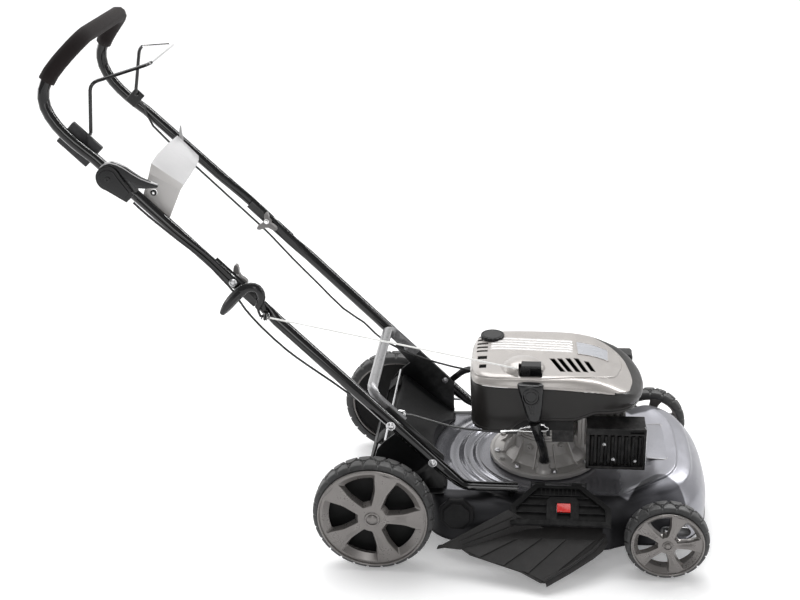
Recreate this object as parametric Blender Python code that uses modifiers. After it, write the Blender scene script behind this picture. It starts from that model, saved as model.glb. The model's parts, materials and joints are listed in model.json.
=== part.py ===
"""Walk-behind mulching lawn mower, built as an assembly of separate pieces.

Metres, +Z up, +X forward. The model is laid out in a working frame whose X is zero at the
rear wheels' centre, Y is zero on the middle plane (+Y is the mower's left) and Z is zero on
the ground; the empty "mower" shifts it so that the middle of the footprint is the origin.
"""
import math

import bmesh
import bpy
from mathutils import Matrix, Vector

# ------------------------------------------------------------------ driving dimensions (m)
SHIFT = (-0.0410, 0.0345, 0.0)       # middle of the footprint to the origin

REAR_R, REAR_W, REAR_IN = 0.140, 0.055, 0.248       # rear wheel radius, width, inner face
FRONT_R, FRONT_W, FRONT_IN = 0.095, 0.048, 0.252    # front wheel
WHEELBASE = 0.665
AXLE_ARM = 0.045                     # crank from axle pivot back to the wheel stub
STUB_R = 0.006                       # wheel stubs and axle rods

CRANK_X = 0.391                      # crankshaft and blade axis
BLADE_R, BLADE_Z = 0.255, 0.078
DECK_Z0, DECK_ZS, DECK_ZP, HOOD_Z = 0.052, 0.095, 0.151, 0.190
DECK_T = 0.0025
DOME_R = 0.2725                      # the rear duct stops round this radius
FLANGE_R, FLANGE_Z = 0.134, 0.1655   # engine base flange radius, top face

TUBE_R = 0.014                       # handle tube
HANDLE_Y = 0.200                     # half the handle's width
FOLD_X, FOLD_Z = -0.300, 0.680       # fold pivot
SLOPE = Vector((-0.7025, 0.0, 0.7117))   # handle direction, upwards
BAIL_X, BAIL_Z = -0.595, 1.004       # bail pivot
FOOT_Z = 0.1745                      # tube centre where it lies along the deck
FLAP_Z = 0.1770                      # side flap's hinge rod
GAP = 0.0003

COL = bpy.data.collections.new("mulching_mower")
CUT = bpy.data.collections.new("cutters")


def clear():
    for o in list(bpy.data.objects):
        bpy.data.objects.remove(o, do_unlink=True)
    for c in (COL, CUT):
        bpy.context.scene.collection.children.link(c)


# ------------------------------------------------------------------ materials
MATS = {}


def material(name, rgb, rough, metal=0.0):
    m = bpy.data.materials.new(name)
    m.use_nodes = True
    b = m.node_tree.nodes["Principled BSDF"]
    b.inputs["Base Color"].default_value = (*rgb, 1.0)
    b.inputs["Roughness"].default_value = rough
    b.inputs["Metallic"].default_value = metal
    m.diffuse_color = (*rgb, 1.0)
    MATS[name] = m


for _n, _c, _r, _m in (
        ("graphite_paint", (0.20, 0.20, 0.215), 0.28, 0.45),
        ("gloss_black_steel", (0.012, 0.012, 0.013), 0.18, 0.0),
        ("black_plastic", (0.018, 0.018, 0.019), 0.48, 0.0),
        ("dark_plastic", (0.030, 0.030, 0.033), 0.42, 0.0),
        ("foam", (0.022, 0.018, 0.018), 0.92, 0.0),
        ("rubber", (0.022, 0.022, 0.023), 0.80, 0.0),
        ("rim_silver", (0.24, 0.22, 0.205), 0.38, 0.35),
        ("cover_silver", (0.46, 0.42, 0.385), 0.35, 0.30),
        ("shroud_charcoal", (0.045, 0.043, 0.042), 0.38, 0.0),
        ("cast_aluminium", (0.42, 0.40, 0.38), 0.45, 0.85),
        ("steel", (0.55, 0.55, 0.56), 0.30, 1.0),
        ("spring_steel", (0.40, 0.40, 0.41), 0.35, 1.0),
        ("console_grey", (0.60, 0.60, 0.62), 0.30, 0.0),
        ("knob_grey", (0.33, 0.32, 0.31), 0.45, 0.0),
        ("rope", (0.80, 0.80, 0.78), 0.85, 0.0),
        ("cable_black", (0.015, 0.015, 0.015), 0.40, 0.0),
        ("button_red", (0.62, 0.02, 0.02), 0.30, 0.0),
        ("primer_red", (0.50, 0.03, 0.04), 0.35, 0.0)):
    material(_n, _c, _r, _m)

# ------------------------------------------------------------------ moving frames
# body: (parent, point on its joint's axis in the working frame)
BODIES = {
    "mower": (None, (0, 0, 0)),
    "rear_axle": ("mower", (AXLE_ARM, 0, REAR_R)),
    "front_axle": ("mower", (WHEELBASE + AXLE_ARM, 0, FRONT_R)),
    "tie_rod": ("rear_axle", (AXLE_ARM, 0.222, REAR_R + 0.040)),
    "wheel_rr": ("rear_axle", (0, -0.2755, REAR_R)),
    "wheel_rl": ("rear_axle", (0, 0.2755, REAR_R)),
    "wheel_fr": ("front_axle", (WHEELBASE, -0.276, FRONT_R)),
    "wheel_fl": ("front_axle", (WHEELBASE, 0.276, FRONT_R)),
    "upper": ("mower", (FOLD_X, 0, FOLD_Z)),
    "knob_r": ("upper", (FOLD_X, -0.160, FOLD_Z)),
    "knob_l": ("upper", (FOLD_X, 0.160, FOLD_Z)),
    "bail": ("upper", (BAIL_X, 0, BAIL_Z)),
    "throttle": ("upper", (-0.5385, -0.236, 0.931)),
    "starter": ("mower", (-0.232, -0.224, 0.606)),
    "door": ("mower", (0.020, 0, 0.2765)),
    "flap": ("mower", (0.425, -0.184, FLAP_Z)),
    "latch": ("flap", (0.4335, -0.236, 0.146)),
    "spindle": ("mower", (CRANK_X, 0, 0.2)),
    "fuel": ("mower", (0.2600, 0.0640, 0.4358)),
    "dip": ("mower", (0.3630, -0.1800, 0.3395)),
    "primer": ("mower", (0.6110, 0.0850, 0.3180)),
}
EMPTY = {}


def frames():
    for name, (parent, p) in BODIES.items():
        e = bpy.data.objects.new("frame_" + name, None)
        e.empty_display_size = 0.03
        COL.objects.link(e)
        if parent is None:
            e.location = SHIFT
        else:
            e.parent = EMPTY[parent]
            q = BODIES[parent][1]
            e.location = tuple(a - b for a, b in zip(p, q))
        EMPTY[name] = e


def place(o, body, mat):
    """Give a piece its material and hang it on its body's frame, origin on the joint axis."""
    p = Vector(BODIES[body][1])
    o.data.transform(Matrix.Translation(-p))
    o.parent = EMPTY[body]
    o.location = (0, 0, 0)
    o.data.materials.clear()
    o.data.materials.append(MATS[mat])
    o.data.shade_smooth()
    o.data.set_sharp_from_angle(angle=math.radians(32))
    return o


# ------------------------------------------------------------------ shape tools
def link(o, col=None):
    (col or COL).objects.link(o)
    return o


def evaluated(o):
    bpy.context.view_layer.update()
    dg = bpy.context.evaluated_depsgraph_get()
    return bpy.data.meshes.new_from_object(o.evaluated_get(dg))


def tidy(me, weld=1e-6):
    bm = bmesh.new()
    bm.from_mesh(me)
    bmesh.ops.remove_doubles(bm, verts=bm.verts, dist=weld)
    bmesh.ops.dissolve_degenerate(bm, dist=1e-7, edges=bm.edges)
    rim = [e for e in bm.edges if len(e.link_faces) == 1]
    if 0 < len(rim) < 12:                # a sliver lost in the weld
        bmesh.ops.holes_fill(bm, edges=rim, sides=4)
    bmesh.ops.recalc_face_normals(bm, faces=bm.faces)
    bm.to_mesh(me)
    bm.free()
    return me


def bake(o, name=None, weld=1e-6):
    """Replace an object (curve or mesh with modifiers) by its finished, welded mesh."""
    me = evaluated(o)
    me.transform(o.matrix_world)
    nm = name or o.name
    old = o.data
    bpy.data.objects.remove(o, do_unlink=True)
    if isinstance(old, bpy.types.Curve):
        bpy.data.curves.remove(old)
    else:
        bpy.data.meshes.remove(old)
    me.name = nm
    tidy(me, weld)
    return link(bpy.data.objects.new(nm, me))


def from_bm(name, bm):
    me = bpy.data.meshes.new(name)
    bmesh.ops.recalc_face_normals(bm, faces=bm.faces)
    bm.to_mesh(me)
    bm.free()
    return link(bpy.data.objects.new(name, me))


def box(name, lo, hi, bevel=0.0, seg=1, rot=None, about=None):
    bm = bmesh.new()
    bmesh.ops.create_cube(bm, size=1.0)
    s = [h - l for l, h in zip(lo, hi)]
    c = [(h + l) / 2 for l, h in zip(lo, hi)]
    bmesh.ops.scale(bm, vec=s, verts=bm.verts)
    bmesh.ops.translate(bm, vec=c, verts=bm.verts)
    if bevel:
        bmesh.ops.bevel(bm, geom=list(bm.edges), offset=bevel, segments=seg, affect="EDGES",
                        profile=0.5)
    o = from_bm(name, bm)
    if rot is not None:
        m = Matrix.Translation(about) @ rot.to_4x4() @ Matrix.Translation(-Vector(about))
        o.data.transform(m)
    return o


def cyl(name, p, axis, r, length, seg=24, r2=None, bevel=0.0, bseg=1):
    """A cylinder or cone whose first end's centre is p, running length along axis."""
    bm = bmesh.new()
    bmesh.ops.create_cone(bm, cap_ends=True, segments=seg, radius1=r,
                          radius2=r if r2 is None else r2, depth=length)
    bmesh.ops.translate(bm, vec=(0, 0, length / 2), verts=bm.verts)
    if bevel:
        rim = [e for e in bm.edges if abs(e.verts[0].co.z - e.verts[1].co.z) < 1e-6
               and e.verts[0].co.z > length * 0.5]
        bmesh.ops.bevel(bm, geom=rim, offset=bevel, segments=bseg, affect="EDGES", profile=0.5)
    o = from_bm(name, bm)
    q = Vector((0, 0, 1)).rotation_difference(Vector(axis).normalized())
    o.data.transform(Matrix.Translation(p) @ q.to_matrix().to_4x4())
    return o


def lathe(name, prof, seg, p, axis=(0, 0, 1), closed=False, phase=0.0):
    """Turn a profile of (radius, height) points about an axis through p."""
    me = bpy.data.meshes.new(name)
    vs = [(r, 0, h) for r, h in prof]
    es = [(i, i + 1) for i in range(len(vs) - 1)]
    if closed:
        es.append((len(vs) - 1, 0))
    me.from_pydata(vs, es, [])
    o = link(bpy.data.objects.new(name, me))
    o.rotation_euler = (0, 0, phase)
    m = o.modifiers.new("turn", "SCREW")
    m.steps = seg
    m.render_steps = seg
    m.use_merge_vertices = True
    m.merge_threshold = 1e-5
    m.use_smooth_shade = False
    o = bake(o, name, 1e-5)
    q = Vector((0, 0, 1)).rotation_difference(Vector(axis).normalized())
    o.data.transform(Matrix.Translation(p) @ q.to_matrix().to_4x4())
    return o


def fillet(pts, rad, n=4):
    """Round the corners of an open line of points."""
    pts = [Vector(p) for p in pts]
    if not isinstance(rad, (list, tuple)):
        rad = [rad] * len(pts)
    out = [pts[0]]
    for i in range(1, len(pts) - 1):
        a, b, c = pts[i - 1], pts[i], pts[i + 1]
        u, v = (a - b).normalized(), (c - b).normalized()
        ang = u.angle(v)
        if rad[i] <= 0 or ang > math.pi - 0.02:
            out.append(b)
            continue
        t = rad[i] / math.tan(ang / 2)
        t = min(t, 0.48 * (a - b).length, 0.48 * (c - b).length)
        r = t * math.tan(ang / 2)
        o = b + (u + v).normalized() * (r / math.sin(ang / 2))
        p0, p1 = b + u * t - o, b + v * t - o
        w = p0.angle(p1)
        for k in range(n + 1):
            s = k / n
            out.append(o + (p0 * math.sin((1 - s) * w) + p1 * math.sin(s * w)) / math.sin(w))
    out.append(pts[-1])
    return out


def smooth_line(pts, n=6):
    """Catmull-Rom line through the given points, n pieces to a span."""
    P = [Vector(p) for p in pts]
    P = [2 * P[0] - P[1]] + P + [2 * P[-1] - P[-2]]
    out = []
    for i in range(1, len(P) - 2):
        a, b, c, d = P[i - 1:i + 3]
        for k in range(n):
            t = k / n
            out.append(0.5 * (2 * b + (c - a) * t + (2 * a - 5 * b + 4 * c - d) * t * t
                              + (3 * b - a - 3 * c + d) * t ** 3))
    out.append(P[-2])
    return out


def tube(name, pts, r, res=4, caps=True, radii=None, cyclic=False):
    """A round bar along a line of points: a curve with a bevel, made into a mesh."""
    cu = bpy.data.curves.new(name, "CURVE")
    cu.dimensions = "3D"
    cu.bevel_depth = r
    cu.bevel_resolution = res
    cu.use_fill_caps = caps and not cyclic
    sp = cu.splines.new("POLY")
    sp.points.add(len(pts) - 1)
    for i, p in enumerate(pts):
        sp.points[i].co = (*p, 1)
        if radii:
            sp.points[i].radius = radii[i]
    sp.use_cyclic_u = cyclic
    return bake(link(bpy.data.objects.new(name, cu)), name, 1e-6)


FLAT = {
    # local (u, v, thickness) to the working frame
    "XZ": Matrix(((1, 0, 0, 0), (0, 0, -1, 0), (0, 1, 0, 0), (0, 0, 0, 1))),
    "XY": Matrix.Identity(4),
    "YZ": Matrix(((0, 0, 1, 0), (1, 0, 0, 0), (0, 1, 0, 0), (0, 0, 0, 1))),
}


def plate(name, outline, t, plane="XZ", at=0.0, holes=(), matrix=None):
    """A flat outline, extruded to thickness t about its middle plane."""
    cu = bpy.data.curves.new(name, "CURVE")
    cu.dimensions = "2D"
    cu.fill_mode = "BOTH"
    cu.extrude = t / 2
    for loop in (outline, *holes):
        sp = cu.splines.new("POLY")
        sp.points.add(len(loop) - 1)
        for i, p in enumerate(loop):
            sp.points[i].co = (p[0], p[1], 0, 1)
        sp.use_cyclic_u = True
    o = bake(link(bpy.data.objects.new(name, cu)), name, 1e-6)
    if matrix is not None:
        o.data.transform(matrix)
    else:
        ax = {"XZ": (0, at, 0), "XY": (0, 0, at), "YZ": (at, 0, 0)}[plane]
        o.data.transform(Matrix.Translation(ax) @ FLAT[plane])
    tidy(o.data)
    return o


def circle(c, r, n=16, phase=0.0):
    return [(c[0] + r * math.cos(phase + 2 * math.pi * i / n),
             c[1] + r * math.sin(phase + 2 * math.pi * i / n)) for i in range(n)]


def combine(a, b, op, keep=False):
    """Boolean b into a. The second shape is used up unless it is kept."""
    m = a.modifiers.new("bool", "BOOLEAN")
    m.operation = op
    m.solver = "EXACT"
    m.object = b
    a = bake(a, a.name, 1e-6)
    if not keep:
        me = b.data
        bpy.data.objects.remove(b, do_unlink=True)
        bpy.data.meshes.remove(me)
    return a


def union(a, *more):
    for b in more:
        a = combine(a, b, "UNION")
    return a


def cut(a, *more):
    for b in more:
        a = combine(a, b, "DIFFERENCE")
    return a


def ring_shell(name, rings, thick, top=None):
    """A thin shell through rings of points, the last one closed over if top is given."""
    bm = bmesh.new()
    rows = [[bm.verts.new(p) for p in r] for r in rings]
    n = len(rows[0])
    for a, b in zip(rows, rows[1:]):
        for i in range(n):
            bm.faces.new((a[i], a[(i + 1) % n], b[(i + 1) % n], b[i]))
    if top is not None:
        c = bm.verts.new(top)
        for i in range(n):
            bm.faces.new((rows[-1][i], rows[-1][(i + 1) % n], c))
    o = from_bm_open(name, bm)
    m = o.modifiers.new("wall", "SOLIDIFY")
    m.thickness = thick
    m.offset = -1.0
    return bake(o, name, 1e-7)


def from_bm_open(name, bm):
    me = bpy.data.meshes.new(name)
    bm.to_mesh(me)
    bm.free()
    return link(bpy.data.objects.new(name, me))


def closed_line(pts, n):
    """n points, evenly spaced, on a smooth closed line through pts."""
    m = len(pts)
    fine = []
    for i in range(m):
        a, b, c, d = (Vector((*pts[(i + k - 1) % m], 0)) for k in range(4))
        for k in range(16):
            t = k / 16
            fine.append(0.5 * (2 * b + (c - a) * t + (2 * a - 5 * b + 4 * c - d) * t * t
                               + (3 * b - a - 3 * c + d) * t ** 3))
    acc = [0.0]
    for i in range(len(fine)):
        acc.append(acc[-1] + (fine[(i + 1) % len(fine)] - fine[i]).length)
    out, j = [], 0
    for k in range(n):
        s = acc[-1] * k / n
        while acc[j + 1] < s:
            j += 1
        f = (s - acc[j]) / (acc[j + 1] - acc[j])
        p = fine[j].lerp(fine[(j + 1) % len(fine)], f)
        out.append((p.x, p.y))
    return out


def sstep(a, b, x):
    t = min(1.0, max(0.0, (x - a) / (b - a)))
    return t * t * (3 - 2 * t)


# ------------------------------------------------------------------ deck
DECK_HALF = [(0.776, 0.0), (0.773, 0.075), (0.760, 0.145), (0.732, 0.196), (0.692, 0.226),
             (0.640, 0.236), (0.585, 0.239), (0.556, 0.250), (0.528, 0.2620), (0.460, 0.2645),
             (0.390, 0.265), (0.310, 0.2645), (0.240, 0.260), (0.180, 0.246), (0.140, 0.222),
             (0.115, 0.180), (0.104, 0.120), (0.101, 0.060), (0.100, 0.0)]


def plateau(x):
    return DECK_ZP + (HOOD_Z - DECK_ZP) * sstep(0.550, 0.660, x)


def deck_surface(p, d):
    """Height of the deck's outer surface at inward distance d from the skirt at p."""
    w = 0.020 + 0.055 * sstep(0.130, 0.200, p[0])     # a tight shoulder at the rear
    u = min(1.0, d / w)
    f = math.sqrt(max(0.0, 1 - (1 - u) ** 2))
    return DECK_ZS + (plateau(p[0]) - DECK_ZS) * f


def dome(g):
    """Cylinder about the crank axis: the raised part of the deck, grown by g."""
    return cyl("dome", (CRANK_X, 0, 0.05), (0, 0, 1), DOME_R + g, 0.35, 72)


def build_deck():
    half = DECK_HALF
    loop = half + [(x, -y) for x, y in half[-2:0:-1]]
    n = 56
    outline = closed_line(loop, n)
    c = Vector((CRANK_X, 0))

    def inward(p, d):
        v = c - Vector(p)
        q = Vector(p) + v.normalized() * d
        return (q.x, q.y)
    rings = [[(x, y, DECK_Z0) for x, y in outline]]
    for d in (0.0, 0.005, 0.016, 0.034, 0.076):
        r = []
        for p in outline:
            q = inward(p, d)
            z = deck_surface(q, d)
            r.append((q[0], q[1], z))
        rings.append(r)
    for reach in (0.150, 0.050):         # round the engine's base, and the shaft hole
        r = []
        for i, p in enumerate(outline):
            a = Vector(rings[5][i][:2])
            q = c + (a - c).normalized() * reach
            r.append((q.x, q.y, DECK_ZP))
        rings.append(r)
    o = ring_shell("deck", rings, DECK_T)
    rear = cut(box("c2", (0.060, -0.140, 0.088), (0.150, 0.140, 0.200)), dome(0.0036))
    o = cut(o, rear,
            box("c1", (0.322, -0.300, 0.064), (0.534, -0.1980, 0.108)),
            box("c1", (0.3075, -0.300, 0.1045), (0.5455, -0.1980, 0.200)),
            cyl("c3", (WHEELBASE + AXLE_ARM, -0.30, FRONT_R), (0, 1, 0), STUB_R + 0.0006, 0.60, 12))
    place(o, "mower", "graphite_paint")


def build_rear():
    # discharge duct: open at the deck and at the door
    outer = [(0.1035, 0.1540), (-0.0140, 0.1540), (0.0160, 0.2500), (0.0290, 0.2660),
             (0.0420, 0.2600), (0.1620, 0.1545)]
    inner = [(0.1900, 0.1570), (-0.0500, 0.1570), (-0.0500, 0.2400), (0.0230, 0.2480),
             (0.0390, 0.2550), (0.1480, 0.1590), (0.1900, 0.1580)]
    o = plate("rear_housing_cover", outer, 0.3560)
    o = cut(o, dome(0.0), cut(plate("c", inner, 0.3480), dome(0.0030)),
            cut(box("c", (0.1040, -0.1350, 0.1500), (0.1480, 0.1350, 0.1590)), dome(0.0030)))
    place(o, "mower", "black_plastic")

    plug = [(0.0000, 0.1600), (0.1300, 0.1600), (0.1380, 0.1620), (0.0360, 0.2515),
            (0.0230, 0.2440)]
    o = cut(plate("mulch_plug", plug, 0.300), dome(0.0040))
    place(o, "mower", "black_plastic")

    # handle brackets: side plates that carry the tubes and the rear axle
    edge = [(0.1570, 0.1535), (0.1570, 0.2440), (0.0330, 0.3690), (0.0060, 0.3440),
            (0.0440, 0.2980), (0.0180, 0.2760), (0.0020, 0.2560), (-0.0280, 0.1600),
            (-0.0120, 0.1240), (0.0300, 0.1160), (0.0760, 0.1160), (0.1000, 0.1535)]
    for side, s in (("right", -1), ("left", 1)):
        o = plate("handle_bracket_" + side, edge, 0.003, at=s * 0.1840,
                  holes=[circle((AXLE_ARM, REAR_R), STUB_R + 0.0006, 12)])
        foot = box("f", (0.1100, min(s * 0.1825, s * 0.2060), 0.1535),
                   (0.1570, max(s * 0.1825, s * 0.2060), 0.1565))
        o = union(o, foot)
        for k, (x, z) in enumerate(((0.039, 0.335), (0.133, 0.241))):
            o = union(o, cyl("b", (x, s * 0.1840, z), (0, s, 0), 0.0052, 0.0020 + 0.0290, 10))
            o = union(o, cyl("b", (x, s * 0.2147, z), (0, s, 0), 0.0080, 0.0045, 12, r2=0.0050))
        place(o, "mower", "gloss_black_steel")

    # rear door, its rod
    o = plate("rear_door", [(0.0010, 0.2530), (-0.0270, 0.1560), (-0.0350, 0.1330),
                            (-0.0390, 0.1345), (-0.0312, 0.1570), (-0.0030, 0.2560)], 0.340)
    knuckle = []
    for y0, y1 in ((-0.160, -0.110), (0.110, 0.160)):
        k = plate("k", [(-0.0028, 0.2556), (0.0100, 0.2685), (0.0160, 0.2725),
                        (0.0240, 0.2725), (0.0270, 0.2695), (0.0140, 0.2690),
                        (0.0010, 0.2530)], y1 - y0, at=(y0 + y1) / 2)
        knuckle.append(k)
    o = union(o, *knuckle)
    place(o, "door", "black_plastic")
    o = cyl("rear_door_rod", (0.0200, -0.1818, 0.2690 + 0.0075), (0, 1, 0), 0.0025, 0.3636, 8)
    place(o, "mower", "steel")


# ------------------------------------------------------------------ handle
def squeeze(o, ymid, half, x0, x1, x2, x3, target, ynew=None):
    """Flatten a tube to half-thickness target between x1 and x2, easing over x0..x1, x2..x3."""
    for v in o.data.vertices:
        c = v.co
        k = sstep(x0, x1, c.x) * (1 - sstep(x2, x3, c.x))
        f = 1 - k * (1 - target / half)
        sgn = 1 if c.y > 0 else -1
        mid = sgn * ymid
        mid2 = sgn * (ymid + (0 if ynew is None else (ynew - ymid) * k))
        c.y = mid2 + (c.y - mid) * f


def upper_line():
    """Centre line of the upper handle's right-hand half, from its lower end to the middle."""
    up = SLOPE
    piv = Vector((FOLD_X, -0.2030, FOLD_Z))
    out = [piv - up * 0.070, piv, piv + up * 0.072, Vector((-0.420, -0.1990, 0.7985))]
    bend = [(-0.582, -0.1950, 0.9585), (-0.6230, -0.1940, 0.9930), (-0.6560, -0.1935, 1.0300),
            (-0.6755, -0.1930, 1.0700), (-0.6745, -0.1910, 1.1080), (-0.6560, -0.1850, 1.1420),
            (-0.6280, -0.1660, 1.1745), (-0.6060, -0.1420, 1.1975), (-0.6000, -0.1150, 1.2050)]
    return out + smooth_line(bend, 2)[:-1] + [Vector((-0.6000, -0.1100, 1.2055))]


def build_handle():
    up = SLOPE
    piv = Vector((FOLD_X, 0, FOLD_Z))
    for side, s in (("right", -1), ("left", 1)):
        y = s * HANDLE_Y
        top = piv + up * 0.062
        low = Vector((0.1560, y, FOLD_Z - 1.0131 * (0.1560 - FOLD_X)))
        line = fillet([(top.x, y, top.z), (-0.239, y, 0.6182), (-0.2080, y, 0.5868), low,
                       (0.2050, y, FOOT_Z), (0.3280, y, FOOT_Z)], [0, 0, 0, 0.06, 0.05, 0], 4)
        o = tube("lower_handle_" + side, line, TUBE_R, 4)
        for v in o.data.vertices:        # pressed flatter along the deck
            k = sstep(0.165, 0.215, v.co.x)
            zc = FOOT_Z + max(0.0, 0.2050 - v.co.x)
            v.co.z = zc + (v.co.z - zc) * (1 - 0.28 * k)
        o = union(o, cyl("s", (0.3140, y, 0.1525), (0, 0, 1), 0.0075, 0.0180, 12))
        squeeze(o, HANDLE_Y, TUBE_R, -9, -8, -0.238, -0.212, 0.0045, 0.1935)
        # through holes for the bracket bolts
        for x, z in ((0.039, 0.335), (0.133, 0.241)):
            o = cut(o, cyl("h", (x, s * 0.180, z), (0, s, 0), 0.0058, 0.04, 10))
        o = cut(o, cyl("h", (FOLD_X, s * 0.180, FOLD_Z), (0, s, 0), 0.0045, 0.04, 10))
        place(o, "mower", "gloss_black_steel")

    # cross brace between the tubes
    r = 0.0125
    pts = [(0.0640, -0.1690, 0.3280), (0.0300, -0.1690, 0.3620), (-0.0080, -0.1690, 0.4000),
           (-0.0080, 0.1690, 0.4000), (0.0300, 0.1690, 0.3620), (0.0640, 0.1690, 0.3280)]
    o = tube("cross_brace", fillet(pts, [0, 0, 0.030, 0.030, 0, 0], 5), r, 4)
    squeeze(o, 0.1690, r, 0.000, 0.014, 9, 10, 0.0030, 0.1780)
    place(o, "mower", "gloss_black_steel")

    # upper handle: one bent tube, flattened at its two lower ends
    half = upper_line()
    pts = half + [Vector((p.x, -p.y, p.z)) for p in reversed(half)]
    o = tube("upper_handle", pts, 0.0125, 4)
    for v in o.data.vertices:           # flat, offset lower ends beside the lower tubes
        c = v.co
        k = sstep(-0.392, -0.352, c.x)
        if k > 0 and c.z < 0.80:
            sg = 1 if c.y > 0 else -1
            mid = 0.2030 if c.x > -0.36 else 0.2030 - (c.x + 0.36) / (-0.42 + 0.36) * 0.004
            c.y = sg * (mid + (0.2035 - mid) * k) + (c.y - sg * mid) * (1 - k * (1 - 0.0045 / 0.0125))
    for s in (-1, 1):
        o = cut(o, cyl("h", (FOLD_X, s * 0.190, FOLD_Z), (0, s, 0), 0.0045, 0.04, 10))
    place(o, "upper", "gloss_black_steel")

    # foam sleeve round the crossbar and both corners
    n0 = len(half) - 8
    seg = pts[n0:len(pts) - n0]
    cu = bpy.data.curves.new("foam_grip", "CURVE")
    cu.dimensions = "3D"
    cu.bevel_depth = 0.0180
    cu.bevel_resolution = 3
    cu.use_fill_caps = False
    sp = cu.splines.new("POLY")
    sp.points.add(len(seg) - 1)
    for i, p in enumerate(seg):
        sp.points[i].co = (*p, 1)
    o = link(bpy.data.objects.new("foam_grip", cu))
    o = bake(o, "foam_grip")
    m = o.modifiers.new("wall", "SOLIDIFY")
    m.thickness = 0.0040
    m.offset = -1.0
    o = bake(o, "foam_grip", 1e-7)
    place(o, "upper", "foam")

    # fold joint: coach bolt from outside, three-lobed knob inside
    for side, s in (("right", -1), ("left", 1)):
        o = cyl("s", (FOLD_X, s * 0.1700, FOLD_Z), (0, s, 0), 0.0040, 0.0400, 12)
        o = union(o, cyl("h", (FOLD_X, s * 0.2084, FOLD_Z), (0, s, 0), 0.0095, 0.0050, 16,
                         r2=0.0055))
        o.name = "pivot_bolt_" + side
        place(o, "upper", "steel")
        lobes = []
        n = 36
        for i in range(n):
            a = 2 * math.pi * i / n + 1.536
            r = 0.0100 + 0.0190 * (0.5 + 0.5 * math.cos(3 * (a - 1.536))) ** 3
            lobes.append((FOLD_X + r * math.cos(a), FOLD_Z + r * math.sin(a)))
        o = plate("star_knob_" + side, lobes, 0.0120, at=s * 0.1690)
        o = union(o, cyl("b", (FOLD_X, s * 0.1640, FOLD_Z), (0, s, 0), 0.0090, 0.0230, 16))
        o = cut(o, cyl("b", (FOLD_X, s * 0.1690, FOLD_Z), (0, s, 0), 0.0045, 0.0300, 10))
        place(o, "knob_r" if s < 0 else "knob_l", "knob_grey")


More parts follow.
